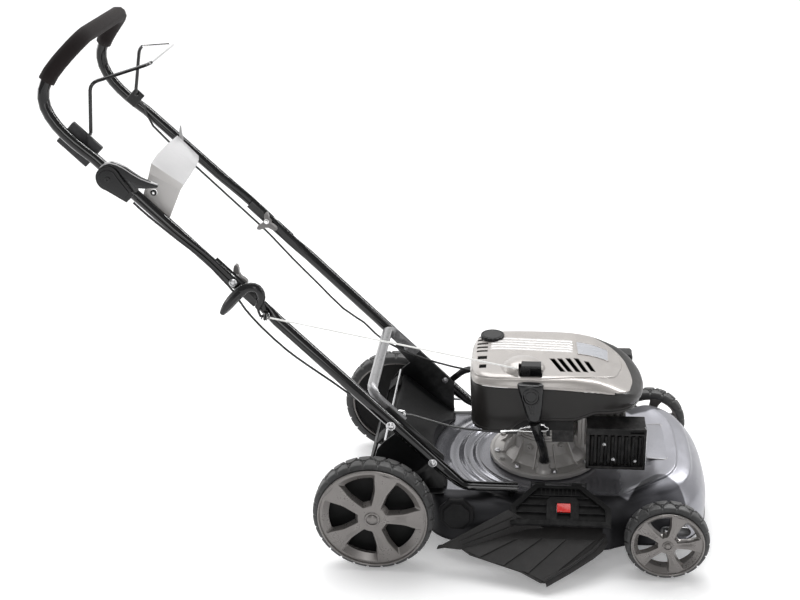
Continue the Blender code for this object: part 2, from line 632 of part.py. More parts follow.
def build_controls():
    up = SLOPE.normalized()
    nrm = Vector((up.z, 0, -up.x))
    rot = Matrix((up, Vector((0, 1, 0)), nrm)).transposed()
    # bail
    leg = [(BAIL_X, -0.1795, BAIL_Z), (BAIL_X, -0.1630, BAIL_Z), (-0.5770, -0.1780, 1.1180),
           (-0.4700, -0.1000, 1.1400)]
    pts = leg + [(x, -y, z) for x, y, z in reversed(leg)]
    rad = [0, 0.005, 0.020, 0.030, 0.030, 0.020, 0.005, 0]
    o = tube("bail", fillet(pts, rad, 4), 0.0040, 2)
    place(o, "bail", "gloss_black_steel")

    for side, s in (("right", -1), ("left", 1)):
        # block inboard of the right-hand tube; a small clip on the left-hand one
        if s < 0:
            c = Vector((-0.6180, -0.1742, 0.9840))
            o = box("bail_bracket_right", c - Vector((0.0410, 0.0060, 0.0300)),
                    c + Vector((0.0410, 0.0060, 0.0300)), 0.002, 1, rot, c)
            o = cut(o, cyl("h", (BAIL_X, -0.150, BAIL_Z), (0, -1, 0), 0.0046, 0.0600, 12))
        else:
            c = Vector((-0.6010, 0.1755, 0.9950))
            o = box("bail_bracket_left", c - Vector((0.0140, 0.0040, 0.0200)),
                    c + Vector((0.0140, 0.0040, 0.0200)), 0.0015, 1, rot, c)
            o = cut(o, cyl("h", (BAIL_X, 0.150, BAIL_Z), (0, 1, 0), 0.0046, 0.0600, 12))
        place(o, "upper", "dark_plastic")

    # control housing outside the right-hand tube
    c = Vector((-0.5385, -0.2320, 0.9310))
    # teardrop, tapering down the slope
    d = -up
    ang = math.atan2(d.z, d.x)
    drop = []
    for i in range(15):
        a = ang + math.radians(62 + (360 - 124) * i / 14)
        drop.append((c.x + 0.0275 * math.cos(a), c.z + 0.0275 * math.sin(a)))
    e = c + d * 0.062
    drop.append((e.x - nrm.x * 0.013, e.z - nrm.z * 0.013))
    drop.append((e.x + nrm.x * 0.013, e.z + nrm.z * 0.013))
    o = plate("control_housing", drop, 0.0260, at=-0.2245)
    # saddle over the handle tube
    o = cut(o, tube("h", upper_line()[3:9], 0.0133, 4))
    slot = plate("h", circle((c.x, c.z), 0.0120, 16), 0.0300, at=-0.2245 - 0.0190)
    o = cut(o, slot)
    place(o, "upper", "black_plastic")

    p = Vector((-0.5385, 0, 0.9310))
    lev = [(p.x + 0.0115 * math.cos(a), p.z + 0.0115 * math.sin(a)) for a in
           [math.radians(70 + 250 * i / 10) for i in range(11)]]
    o = plate("throttle_lever", lev, 0.0060, at=-0.2330)
    arm = plate("a", [(p.x - 0.0050, p.z + 0.0100), (p.x - 0.0020, p.z + 0.0310),
                      (p.x + 0.0100, p.z + 0.0350), (p.x + 0.0400, p.z + 0.0230),
                      (p.x + 0.0690, p.z + 0.0020), (p.x + 0.1050, p.z - 0.0150),
                      (p.x + 0.1030, p.z - 0.0205), (p.x + 0.0780, p.z - 0.0230),
                      (p.x + 0.0560, p.z - 0.0220), (p.x + 0.0440, p.z - 0.0070),
                      (p.x + 0.0200, p.z - 0.0060)], 0.0050, at=-0.2420)
    o = union(o, arm, cyl("a", (p.x, -0.2360, p.z), (0, -1, 0), 0.0090, 0.0080, 12))
    place(o, "throttle", "black_plastic")

    # console panel: an ear inboard of each tube and a cambered web between them
    rows = ((-0.1820, -0.4900, 0.8690, -0.4360, 0.8180), (-0.1820, -0.4700, 0.9220, -0.4050, 0.8840),
            (-0.1700, -0.4665, 0.9410, -0.4000, 0.8920), (-0.1100, -0.4720, 0.9410, -0.4040, 0.8900),
            (0.0, -0.4830, 0.9300, -0.4150, 0.8830), (0.1000, -0.4950, 0.9150, -0.4370, 0.8650),
            (0.1650, -0.5030, 0.9050, -0.4550, 0.8540), (0.1820, -0.5040, 0.8950, -0.4600, 0.8450),
            (0.1820, -0.5080, 0.8750, -0.4640, 0.8300))
    bm = bmesh.new()
    grid = []
    for y, x0, z0, x1, z1 in rows:
        grid.append([bm.verts.new((x0 + (x1 - x0) * t, y, z0 + (z1 - z0) * t))
                     for t in (0.0, 0.5, 1.0)])
    for a, b in zip(grid, grid[1:]):
        for i in range(2):
            bm.faces.new((a[i], b[i], b[i + 1], a[i + 1]))
    o = from_bm_open("console_panel", bm)
    m = o.modifiers.new("wall", "SOLIDIFY")
    m.thickness = 0.0030
    m.offset = 1.0
    o = bake(o, "console_panel", 1e-7)
    o = cut(o, cyl("h", (-0.4640, -0.1700, 0.8790), (0, -1, 0), 0.0075, 0.0300, 12))
    place(o, "upper", "console_grey")

    # cables, split at the fold
    def beside(y, *tn):
        """Points at t along the handle from the fold, n below its middle line."""
        return [(FOLD_X + SLOPE.x * t - SLOPE.z * n, y, FOLD_Z + SLOPE.z * t + SLOPE.x * n)
                for t, n in tn]
    near_up = [(-0.4980, -0.2240, 0.8700), (-0.4700, -0.2225, 0.8400), (-0.4120, -0.2185, 0.7850),
               (-0.3600, -0.2175, 0.7390), (-0.3172, -0.2175, 0.6882)]
    near_lo = [(-0.3168, -0.2175, 0.6877), (-0.3000, -0.2172, 0.6660), (-0.2750, -0.2168, 0.6210),
               (-0.2400, -0.2165, 0.5760),
               (-0.1900, -0.2160, 0.5240), (-0.1470, -0.2150, 0.4880), (-0.0920, -0.2080, 0.4420),
               (-0.0300, -0.1900, 0.3820),
               (0.0200, -0.1620, 0.3380), (0.0800, -0.1570, 0.3330), (0.1700, -0.1620, 0.3090),
               (0.2500, -0.1740, 0.3060), (0.3250, -0.1790, 0.3055)]
    clip = Vector((-0.6010, 0.1755, 0.9950)) - up * 0.0149
    far_up = [tuple(clip), tuple(clip - up * 0.0150)]
    far_up += beside(0.1790, (0.360, 0.0170), (0.240, 0.0200), (0.120, 0.0205), (0.0002, 0.0200))
    far_lo = beside(0.1790, (0.0, 0.0200), (-0.035, 0.0215))
    far_lo += beside(0.1850, (-0.110, 0.0300), (-0.200, 0.0340), (-0.290, 0.0380))
    far_lo += [(-0.0720, 0.1850, 0.4090), (-0.0440, 0.1830, 0.3800), (-0.0080, 0.1640, 0.3620),
               (0.0500, 0.1480, 0.3410),
               (0.1200, 0.1350, 0.3230), (0.1900, 0.1180, 0.3150), (0.2280, 0.1060, 0.3160)]
    for nm, pts, body in (("throttle_cable_upper", near_up, "upper"),
                          ("throttle_cable_lower", near_lo, "mower"),
                          ("brake_cable_upper", far_up, "upper"),
                          ("brake_cable_lower", far_lo, "mower")):
        o = tube(nm, smooth_line(pts, 2), 0.0025, 1)
        place(o, body, "cable_black")


def build_starter():
    # pig-tail guide on the right-hand lower tube
    g = Vector((-0.2300, -0.2225, 0.6060))
    d = Vector((0.582, 0.089, -0.178)).normalized()
    o = lathe("rope_guide", [(0.0042 + 0.0024 * (1 - math.cos(2 * math.pi * i / 8)),
                              0.0024 * math.sin(2 * math.pi * i / 8)) for i in range(8)],
              16, tuple(g), tuple(d), closed=True)
    foot = box("f", (-0.2345, -0.2165, 0.5990), (-0.2255, -0.2138, 0.6180))
    o = union(o, foot)
    o.name = "rope_guide"
    place(o, "mower", "steel")

    a = g + d * 0.0105
    b = Vector((0.3240, -0.1343, 0.4473))
    o = tube("starter_rope", [a, a.lerp(b, 0.33), a.lerp(b, 0.66), b], 0.0021, 2)
    place(o, "mower", "rope")

    y = -0.2340
    pts = smooth_line([(-0.3240, y, 0.6170), (-0.3060, y, 0.6410), (-0.2850, y, 0.6640),
                       (-0.2620, y, 0.6800), (-0.2400, y, 0.6780), (-0.2320, y, 0.6570),
                       (-0.2430, y + 0.002, 0.6320)], 3)
    rad = [0.55, 0.85, 1.02, 1.14, 1.20, 1.22, 1.20, 1.15, 1.10, 1.04, 1.0, 0.97, 0.94, 0.91,
           0.88, 0.84, 0.80, 0.76, 0.68]
    o = tube("starter_grip", pts, 0.0105, 3, radii=rad[:len(pts)])
    place(o, "starter", "black_plastic")


# ------------------------------------------------------------------ side discharge
def build_side():
    # the flap lies on the slope from its rod down and outwards
    top = Vector((0.425, -0.184, FLAP_Z))
    low = Vector((0.425, -0.2730, 0.1210))
    ez = (low - top).normalized()
    nrm = Vector((0, ez.z, -ez.y)).normalized()       # outwards and up
    ex = Vector((1, 0, 0))
    m = Matrix.Translation(top) @ Matrix((ex, ez, nrm)).transposed().to_4x4()
    h = (low - top).length
    frame = [(-0.0600, 0.0070), (0.0520, 0.0070), (0.1150, 0.0600), (0.1150, h),
             (-0.1120, h), (-0.1120, 0.0600)]
    o = plate("side_flap", frame, 0.0110, matrix=m @ Matrix.Translation((0, 0, 0.0005)))
    # button well
    o = cut(o, _local_box("w", m, (-0.0080, 0.0515, -0.0038), (0.0250, 0.0745, 0.0120)))
    kn = []
    for x0, x1 in ((-0.058, -0.034), (0.026, 0.050)):
        k = _local_box("k", m, (x0, 0.0028, -0.0020), (x1, 0.0090, 0.0045))
        kn.append(k)
    o = union(o, *kn)
    place(o, "flap", "black_plastic")
    b = _local_box("latch_button", m, (-0.0070, 0.0525, -0.0006), (0.0240, 0.0735, 0.0085), 0.0012)
    place(b, "latch", "button_red")
    o = cyl("side_flap_rod", (0.360, -0.1840, FLAP_Z), (1, 0, 0), 0.0022, 0.124, 8)
    lug = [box("l", (0.3580, -0.1870, 0.1520), (0.3610, -0.1810, FLAP_Z + 0.0035)),
           box("l", (0.4830, -0.1870, 0.1520), (0.4860, -0.1810, FLAP_Z + 0.0035))]
    o = union(o, *lug)
    o.name = "side_flap_rod"
    place(o, "mower", "steel")

    # discharge chute, hooked under the flap
    t0 = Vector((0.0, -0.2380, 0.1120))
    t1 = Vector((0.0, -0.3650, 0.0290))
    ez = (t1 - t0).normalized()
    nrm = Vector((0, ez.z, -ez.y)).normalized()
    m = Matrix.Translation(t0) @ Matrix((ex, ez, nrm)).transposed().to_4x4()
    L = (t1 - t0).length
    out = [(0.338, 0.000), (0.529, 0.000), (0.529, 0.037), (0.522, 0.044), (0.498, 0.072),
           (0.392, L), (0.382, L), (0.338, 0.128), (0.222, 0.092), (0.196, 0.070),
           (0.146, 0.080), (0.150, 0.070), (0.296, 0.043), (0.338, 0.038)]
    o = plate("discharge_chute", out, 0.0035, matrix=m)
    # stiffening ribs, running back and outwards
    ribs = []
    for x0, v0, x1, v1 in ((0.498, 0.056, 0.392, 0.150), (0.440, 0.046, 0.355, 0.1200),
                           (0.385, 0.046, 0.300, 0.1060), (0.330, 0.048, 0.245, 0.0880)):
        w = 0.0022
        dv = Vector((x1 - x0, v1 - v0)).normalized()
        nn = Vector((-dv.y, dv.x)) * w
        ribs.append(plate("r", [(x0 + nn.x, v0 + nn.y), (x1 + nn.x, v1 + nn.y),
                                (x1 - nn.x, v1 - nn.y), (x0 - nn.x, v0 - nn.y)], 0.0080,
                          matrix=m @ Matrix.Translation((0, 0, 0.0020))))
    o = union(o, *ribs)
    place(o, "mower", "dark_plastic")

    # black cover of the axle pivot on the deck's right-hand rear corner
    cx, cz = 0.1905, 0.1420
    octo = circle((cx, cz), 0.0420, 8, math.pi / 8)
    o = plate("pivot_cover", octo, 0.0100, at=-0.2700 + 0.0010)
    o2 = plate("p2", circle((cx, cz), 0.0320, 8, math.pi / 8), 0.0080, at=-0.2760)
    o = union(o, o2)
    place(o, "mower", "black_plastic")


def _local_box(name, m, lo, hi, bevel=0.0):
    o = box(name, lo, hi, bevel)
    o.data.transform(m)
    tidy(o.data)
    return o


# ------------------------------------------------------------------ wheels and axles
def build_wheel(tag, body, x, s, R, w, y_in, ring, bore_y):
    """Tyre and spoked rim. s is -1 on the right; profiles run outwards from y_in."""
    n = 36
    k = 1 / math.cos(math.pi / n)
    Rk = R * k
    p = (x, s * y_in, R)
    ax = (0, s, 0)
    ri = ring - 0.0060                   # tyre seat
    wt = w - 0.0060
    prof = [(ri, 0.0), (Rk - 0.008, 0.0010), (Rk, 0.0090), (Rk, wt - 0.0100),
            (Rk - 0.009, wt - 0.0015), (ring + 0.0012, wt), (ri, wt - 0.0015)]
    o = lathe("tyre_" + tag, prof, n, p, ax, closed=True, phase=math.pi / n)
    flat_down(o, x, R, n)
    place(o, body, "rubber")

    # rim: barrel, face with five tapered windows, hub
    seg = 24
    rb = ri / k - GAP
    barrel = lathe("b", [(rb, 0.0060), (rb, w - 0.0056), (ring, w - 0.0050), (ring, w),
                         (ring - 0.0095, w), (rb - 0.004, 0.0060)], seg, p, ax, closed=True)
    spokes = []
    for i in range(5):
        a0 = math.radians(108 + 72 * i)
        win = []
        half = math.radians(36)
        r0, r1 = ring * 0.37, ring - 0.0115
        ww = ring * 0.085
        for j in range(4):
            a = a0 + (half - math.asin(ww * 1.2 / r1)) * (j / 1.5 - 1)
            win.append((r1 * math.cos(a), r1 * math.sin(a)))
        for j in (1, -1):
            a = a0 + (half - math.asin(min(0.95, ww / r0))) * j * 0.8
            win.append((r0 * math.cos(a), r0 * math.sin(a)))
        spokes.append(win)
    mface = Matrix.Translation((x, s * (y_in + w - 0.0075), R)) @ FLAT["XZ"]
    face = plate("f", circle((0, 0), rb - 0.0015, seg), 0.0080, matrix=mface, holes=spokes)
    hub = lathe("h", [(0.0, w - 0.0005), (0.0200, w - 0.0005), (0.0215, w - 0.0030), (0.0215, 0.0060),
                      (STUB_R + GAP + 0.0001, 0.0060), (STUB_R + GAP + 0.0001, bore_y),
                      (0.0, bore_y)], 12, p, ax)
    o = union(barrel, face, hub)
    if x == 0.0:                         # closed inner side of the rear wheels
        mdisc = Matrix.Translation((x, s * (y_in + 0.0120), R)) @ FLAT["XZ"]
        o = union(o, plate("d", circle((0, 0), rb - 0.0012, seg), 0.0025, matrix=mdisc,
                           holes=[circle((0, 0), STUB_R + 0.008, 12)]))
    o.name = "rim_" + tag
    place(o, body, "rim_silver")


def flat_down(o, x, R, n):
    """Turn the tyre so that a flat facet, not an edge, is lowest."""
    low = min(v.co.z for v in o.data.vertices)
    if low < -1e-4:
        m = Matrix.Translation((x, 0, R)) @ Matrix.Rotation(math.pi / n, 4, "Y") \
            @ Matrix.Translation((-x, 0, -R))
        o.data.transform(m)


def build_running_gear():
    for tag, body, x, s, R, w, yi, ring in (
            ("rear_right", "wheel_rr", 0.0, -1, REAR_R, REAR_W, REAR_IN, 0.1267),
            ("rear_left", "wheel_rl", 0.0, 1, REAR_R, REAR_W, REAR_IN, 0.1267),
            ("front_right", "wheel_fr", WHEELBASE, -1, FRONT_R, FRONT_W, FRONT_IN, 0.0820),
            ("front_left", "wheel_fl", WHEELBASE, 1, FRONT_R, FRONT_W, FRONT_IN, 0.0820)):
        build_wheel(tag, body, x, s, R, w, yi, ring, w - 0.0116)

    for tag, body, x, R, yi, w in (("rear_axle", "rear_axle", 0.0, REAR_R, REAR_IN, REAR_W),
                                   ("front_axle", "front_axle", WHEELBASE, FRONT_R, FRONT_IN,
                                    FRONT_W)):
        px = x + AXLE_ARM
        rod = cyl(tag, (px, -0.2400, R), (0, 1, 0), STUB_R, 0.4800, 12)
        for s in (-1, 1):
            arm = plate("a", _slot((px, R), (x, R), 0.0120), 0.0050, at=s * 0.2395)
            stub = cyl("s", (x, s * 0.2395, R), (0, s, 0), STUB_R, yi + w - 0.0120 - 0.2395, 12)
            rod = union(rod, arm, stub)
        # upright for the tie rod
        up = plate("u", _slot((px, R), (px, R + 0.040), 0.0090), 0.0040, at=0.2290)
        rod = union(rod, up)
        rod.name = tag
        place(rod, body, "spring_steel")

    lev = plate("height_lever", _strip([(AXLE_ARM + 0.0095, REAR_R + 0.0075), (0.0850, 0.1750),
                                        (0.1480, 0.2230), (0.1700, 0.2420)], 0.0080), 0.0030,
                at=0.2390)
    knob = tube("k", smooth_line([(0.1640, 0.2390, 0.2370), (0.1780, 0.2385, 0.2480),
                                  (0.2000, 0.2380, 0.2560)], 3), 0.0085, 3,
                radii=[0.80, 0.95, 1.0, 1.0, 1.0, 1.0, 0.85])
    lev = union(lev, knob)
    lev.name = "height_lever"
    place(lev, "rear_axle", "black_plastic")

    # tie rod joins the two uprights above the deck's edge
    z0, z1 = REAR_R + 0.040, FRONT_R + 0.040
    pts = [(AXLE_ARM, 0.2235, z0), (0.250, 0.2235, 0.1680), (0.500, 0.2260, 0.1600),
           (0.580, 0.2430, 0.1515), (0.675, 0.2430, 0.1435), (0.700, 0.2235, 0.1409),
           (WHEELBASE + AXLE_ARM, 0.2235, z1 + 0.002)]
    rod = tube("height_tie_rod", fillet(pts, [0, 0.03, 0.03, 0.03, 0.010, 0.004, 0], 2),
               0.0032, 2)
    for x, z in ((AXLE_ARM, z0), (WHEELBASE + AXLE_ARM, z1)):
        rod = union(rod, cyl("e", (x, 0.2200, z), (0, 1, 0), 0.0062, 0.0066, 12))
    rod.name = "height_tie_rod"
    place(rod, "tie_rod", "spring_steel")


def _slot(a, b, r, n=6):
    """Outline of a link with round ends."""
    a, b = Vector(a), Vector(b)
    d = (b - a).normalized()
    t = math.atan2(d.y, d.x)
    out = []
    for i in range(n + 1):
        k = t + math.pi / 2 + math.pi * i / n
        out.append((a.x + r * math.cos(k), a.y + r * math.sin(k)))
    for i in range(n + 1):
        k = t - math.pi / 2 + math.pi * i / n
        out.append((b.x + r * math.cos(k), b.y + r * math.sin(k)))
    return out


def _strip(pts, w):
    """Outline of a bent strip of half width w."""
    P = [Vector(p) for p in pts]
    left, right = [], []
    for i, p in enumerate(P):
        d = (P[min(i + 1, len(P) - 1)] - P[max(i - 1, 0)]).normalized()
        n = Vector((-d.y, d.x)) * w
        left.append((p.x + n.x, p.y + n.y))
        right.append((p.x - n.x, p.y - n.y))
    return left + right[::-1]


# ------------------------------------------------------------------ engine
SHROUD = [(0.2125, 0.0), (0.2125, -0.060), (0.2155, -0.100), (0.2270, -0.130), (0.2550, -0.1500),
          (0.3000, -0.1575), (0.3700, -0.1600), (0.4400, -0.1600), (0.5000, -0.1580),
          (0.5500, -0.1480), (0.5880, -0.1220), (0.6080, -0.0820), (0.6160, -0.0400),
          (0.6180, 0.0), (0.6120, 0.0450), (0.5900, 0.0820), (0.5500, 0.1050), (0.4800, 0.1150),
          (0.3900, 0.1165), (0.3000, 0.1150), (0.2480, 0.1060), (0.2220, 0.0820), (0.2135, 0.0450)]
CROWN = ((0.21, 0.424), (0.24, 0.4305), (0.30, 0.4325), (0.45, 0.4315), (0.50, 0.4240),
         (0.54, 0.4090), (0.585, 0.3870), (0.62, 0.3650))
SEAM = ((0.21, 0.4050), (0.26, 0.4100), (0.40, 0.4095), (0.50, 0.4030), (0.565, 0.3900),
        (0.60, 0.3680), (0.62, 0.3520))
SKIRT = ((0.21, 0.2880), (0.30, 0.2900), (0.335, 0.3240), (0.455, 0.3260), (0.500, 0.3450),
         (0.62, 0.3380))


def ramp(table, x):
    """Smoothly joined heights along x."""
    if x <= table[0][0]:
        return table[0][1]
    for (a, u), (b, v) in zip(table, table[1:]):
        if x <= b:
            return u + (v - u) * (x - a) / (b - a)
    return table[-1][1]


def shroud_loop(n, k=1.0, g=0.0):
    """The shroud's outline, scaled by k towards its middle line, g outwards."""
    cx, cy = 0.415, -0.022
    loop = []
    for x, y in SHROUD:
        d = Vector((x - cx, y - cy))
        back = min(1.0, max(0.0, -d.x / 0.19)) ** 2      # the rear brow is steeper
        q = Vector((d.x * (k + (1 - k) * 0.62 * back), d.y * k)) + d.normalized() * g
        loop.append((cx + q.x, cy + q.y))
    return closed_line(loop, n)


def build_engine():
    n = 40
    # lower shroud: a band, deeper at the back than over the exhaust
    rings = []
    for k, f in ((0.950, 0.0), (0.982, 0.30), (0.998, 0.70), (1.0, 1.0)):
        rings.append([(x, y, ramp(SKIRT, x) + (ramp(SEAM, x) - 0.0012 - ramp(SKIRT, x)) * f)
                      for x, y in shroud_loop(n, k)])
    o = ring_shell("blower_housing", rings, 0.0028)
    place(o, "mower", "shroud_charcoal")

    rings = [[(x, y, ramp(SEAM, x) + h) for x, y in shroud_loop(n, 1.0, 0.0008)]
             for h in (0.0004, 0.0044)]
    for k, f in ((0.968, 0.55), (0.91, 0.86), (0.76, 1.0)):
        rings.append([(x, y, ramp(SEAM, x) + 0.0044 + (ramp(CROWN, x) - ramp(SEAM, x) - 0.0044) * f)
                      for x, y in shroud_loop(n, k)])
    o = ring_shell("top_cover", rings, 0.0028, top=(0.400, -0.022, 0.4322))
    block = box("rb", (0.3260, -0.1440, 0.4130), (0.3810, -0.1180, 0.4590), 0.003)
    neck = lathe("n", [(0.0180, 0.4150), (0.0260, 0.4150), (0.0250, 0.4355), (0.0180, 0.4355)],
                 20, (0.2600, 0.0640, 0), closed=True)
    o = union(o, block, neck)
    o = cut(o, cyl("h", (0.2600, 0.0640, 0.4000), (0, 0, 1), 0.0179, 0.06, 20))
    # slanting slots
    for i in range(5):
        x = 0.3970 + 0.0200 * i
        sl = box("s", (x, -0.1020, 0.39), (x + 0.0095, -0.0480, 0.46))
        for v in sl.data.vertices:
            v.co.x += (-0.0480 - v.co.y) / 0.0540 * 0.0190
        o = cut(o, sl)
    place(o, "mower", "cover_silver")

    # rotating set: crankshaft, flywheel, blade, bolt
    o = lathe("crankshaft", [(0.0, 0.3700), (0.0090, 0.3700), (0.0110, 0.3680), (0.0110, 0.3300),
                             (0.0124, 0.3290), (0.0124, 0.1120), (0.0280, 0.1120),
                             (0.0280, 0.0850), (0.0, 0.0850)], 24, (CRANK_X, 0, 0))
    place(o, "spindle", "steel")
    fins = lathe("flywheel", [(0.0114, 0.3600), (0.0920, 0.3600), (0.0940, 0.3580),
                              (0.0940, 0.3360), (0.0114, 0.3360)], 24, (CRANK_X, 0, 0),
                 closed=True)
    blades = []
    for i in range(12):
        a = 2 * math.pi * i / 12
        f = box("f", (CRANK_X + 0.050, -0.0012, 0.3580), (CRANK_X + 0.088, 0.0012, 0.3740), 0,
                1, Matrix.Rotation(a, 3, "Z"), (CRANK_X, 0, 0.36))
        blades.append(f)
    fins = union(fins, *blades)
    fins.name = "flywheel"
    place(fins, "spindle", "cast_aluminium")

    z = BLADE_Z
    b = 0.0275
    bl = plate("blade", [(-0.255, -b), (-0.060, -b), (0.060, -b), (0.255, -b + 0.012),
                         (0.255, b), (0.060, b), (-0.060, b), (-0.255, b - 0.012)], 0.0030,
               plane="XY", at=z, holes=[circle((0, 0), 0.0060, 12)])
    bl.data.transform(Matrix.Translation((CRANK_X, 0, 0)))
    for s in (-1, 1):
        wing = plate("w", [(0.0, 0.0012), (0.0155, 0.0175), (0.0180, 0.0155), (0.0020, -0.0012)],
                     0.080, plane="YZ", at=0.0)
        wing.data.transform(Matrix.Rotation(math.pi if s < 0 else 0, 4, "Z"))
        off = Vector((CRANK_X + s * 0.208, s * (b - 0.0030), z))
        wing.data.transform(Matrix.Translation(off))
        bl = union(bl, wing)
    bl.name = "blade"
    place(bl, "spindle", "spring_steel")
    o = lathe("blade_bolt", [(0.0, 0.0847), (0.0052, 0.0847), (0.0052, 0.0762), (0.0150, 0.0762),
                             (0.0150, 0.0735), (0.0090, 0.0735), (0.0090, 0.0665), (0.0, 0.0665)],
              18, (CRANK_X, 0, 0))
    place(o, "spindle", "steel")

    # crankcase on its base flange
    o = lathe("crankcase", [(0.0130, 0.1545), (FLANGE_R, 0.1545), (FLANGE_R, 0.1640),
                            (FLANGE_R - 0.003, FLANGE_Z), (0.100, FLANGE_Z),
                            (0.092, 0.1760), (0.078, 0.1860), (0.074, 0.2000), (0.074, 0.2900),
                            (0.064, 0.3000), (0.034, 0.3020), (0.030, 0.3220), (0.0130, 0.3220)],
              28, (CRANK_X, 0, 0), closed=True)
    feet = []
    for i in range(6):
        a = math.radians(30 + 60 * i)
        c = Vector((CRANK_X + 0.118 * math.cos(a), 0.118 * math.sin(a), 0))
        feet.append(cyl("b", (c.x, c.y, 0.160), (0, 0, 1), 0.0075, 0.0100, 6))
    neck = cyl("n", (0.3880, -0.1130, 0.1600), (0, 0, 1), 0.0135, 0.0325, 16)
    o = union(o, *feet, neck)
    place(o, "mower", "cast_aluminium")

    comb = []
    x0, x1 = 0.4680, 0.5780
    nf = 7
    yb, yf = 0.0350, 0.0560
    pitch = (x1 - x0) / nf
    up, dn = [], []
    for i in range(nf):
        a = x0 + pitch * i
        up += [(a, yb), (a + pitch * 0.55, yb), (a + pitch * 0.55, yf), (a + pitch, yf)]
    up = [(x0, yb)] + [(a, b) for a, b in up[1:]]
    dn = [(a, -b) for a, b in reversed(up)]
    o = plate("cylinder", up + dn, 0.1000, plane="XY", at=0.2500)
    place(o, "mower", "cast_aluminium")

    # exhaust box with its louvred guard
    o = box("muffler", (0.4820, -0.1520, 0.1990), (0.6210, -0.0900, 0.3080), 0.004)
    sl = []
    for i in range(7):
        x = 0.4980 + 0.0165 * i
        sl.append(box("s", (x, -0.1600, 0.2120), (x + 0.0060, -0.1440, 0.2920)))
    o = cut(o, *sl)
    stub = cyl("st", (0.5600, -0.0920, 0.2500), (0, 1, 0), 0.0140, 0.0340, 12)
    o = union(o, stub)
    o.name = "muffler"
    place(o, "mower", "black_plastic")

    o = box("air_filter_box", (0.5400, 0.0560, 0.2420), (0.6030, 0.1500, 0.3360), 0.006, 2)
    o = union(o, box("t", (0.5560, 0.0990, 0.3200), (0.6010, 0.1460, 0.3720), 0.005, 1))
    intake = cyl("i", (0.5560, 0.0780, 0.2700), (0, -1, 0), 0.0120, 0.0210, 12)
    o.name = "air_filter_box"
    o = union(o, intake)
    boss = cyl("p", (0.6000, 0.0850, 0.3180), (1, 0, 0), 0.0135, 0.0070, 16)
    o = union(o, boss)
    o = cut(o, cyl("w", (0.6022, 0.0850, 0.3180), (1, 0, 0), 0.0110, 0.0100, 16))
    o.name = "air_filter_box"
    place(o, "mower", "black_plastic")
    o = lathe("primer_bulb", [(0.0, 0.0100), (0.0050, 0.0094), (0.0090, 0.0070), (0.0105, 0.0030),
                              (0.0105, 0.0004), (0.0, 0.0004)], 20, (0.6070, 0.0850, 0.3180),
              (1, 0, 0))
    place(o, "primer", "primer_red")

    # fuel cap on the cover's far rear corner
    o = lathe("fuel_cap", [(0.0, 0.4470), (0.0245, 0.4470), (0.0265, 0.4452), (0.0265, 0.4358),
                           (0.0170, 0.4358), (0.0170, 0.4240), (0.0, 0.4240)], 24,
              (0.2600, 0.0640, 0))
    place(o, "fuel", "black_plastic")

    # oil filler: neck tube and the dipstick with its broad handle
    pts = [Vector((0.3880, -0.1130, 0.1960))] + smooth_line(
        [(0.3880, -0.1150, 0.2080), (0.3840, -0.1370, 0.2430), (0.3750, -0.1690, 0.2900),
         (0.3640, -0.1800, 0.3345)], 2)
    rad = [0.0125, 0.0105, 0.0105, 0.0105, 0.0105, 0.0110, 0.0118, 0.0130]
    o = tube("filler_tube", pts, 1.0, 3, radii=rad)
    place(o, "mower", "black_plastic")
    rows = [(0.3395, 0.3632, 0.0125, 0.0110), (0.3480, 0.3628, 0.0160, 0.0120),
            (0.3620, 0.3610, 0.0195, 0.0125), (0.3900, 0.3580, 0.0240, 0.0128),
            (0.4200, 0.3540, 0.0288, 0.0130), (0.4300, 0.3530, 0.0298, 0.0125),
            (0.4330, 0.3530, 0.0270, 0.0100)]
    n = 16
    bm = bmesh.new()
    rings = []
    for z, cx, hx, hy in rows:
        ring = []
        for i in range(n):
            a = 2 * math.pi * i / n
            ca, sa = math.cos(a), math.sin(a)
            ring.append(bm.verts.new((cx + hx * math.copysign(abs(ca) ** 0.7, ca),
                                      -0.1800 + hy * math.copysign(abs(sa) ** 0.7, sa), z)))
        rings.append(ring)
    for a, b in zip(rings, rings[1:]):
        for i in range(n):
            bm.faces.new((a[i], a[(i + 1) % n], b[(i + 1) % n], b[i]))
    bm.faces.new(rings[0][::-1])
    bm.faces.new(rings[-1])
    o = from_bm("dipstick", bm)
    place(o, "dip", "black_plastic")


clear()
frames()
build_deck()
build_rear()
build_handle()
build_controls()
build_starter()
build_side()
build_running_gear()
build_engine()
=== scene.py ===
"""Studio scene of a walk-behind mulching mower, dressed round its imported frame.

Lengths are in metres. Shapes are laid out in a working frame (x = 0 at the rear wheels, y = 0 in
the mower's middle plane, z = 0 on the ground) and moved by SHIFT into the row frame.
"""

import json
import math

import bmesh
import bpy
from mathutils.bvhtree import BVHTree
from mathutils import Matrix, Vector

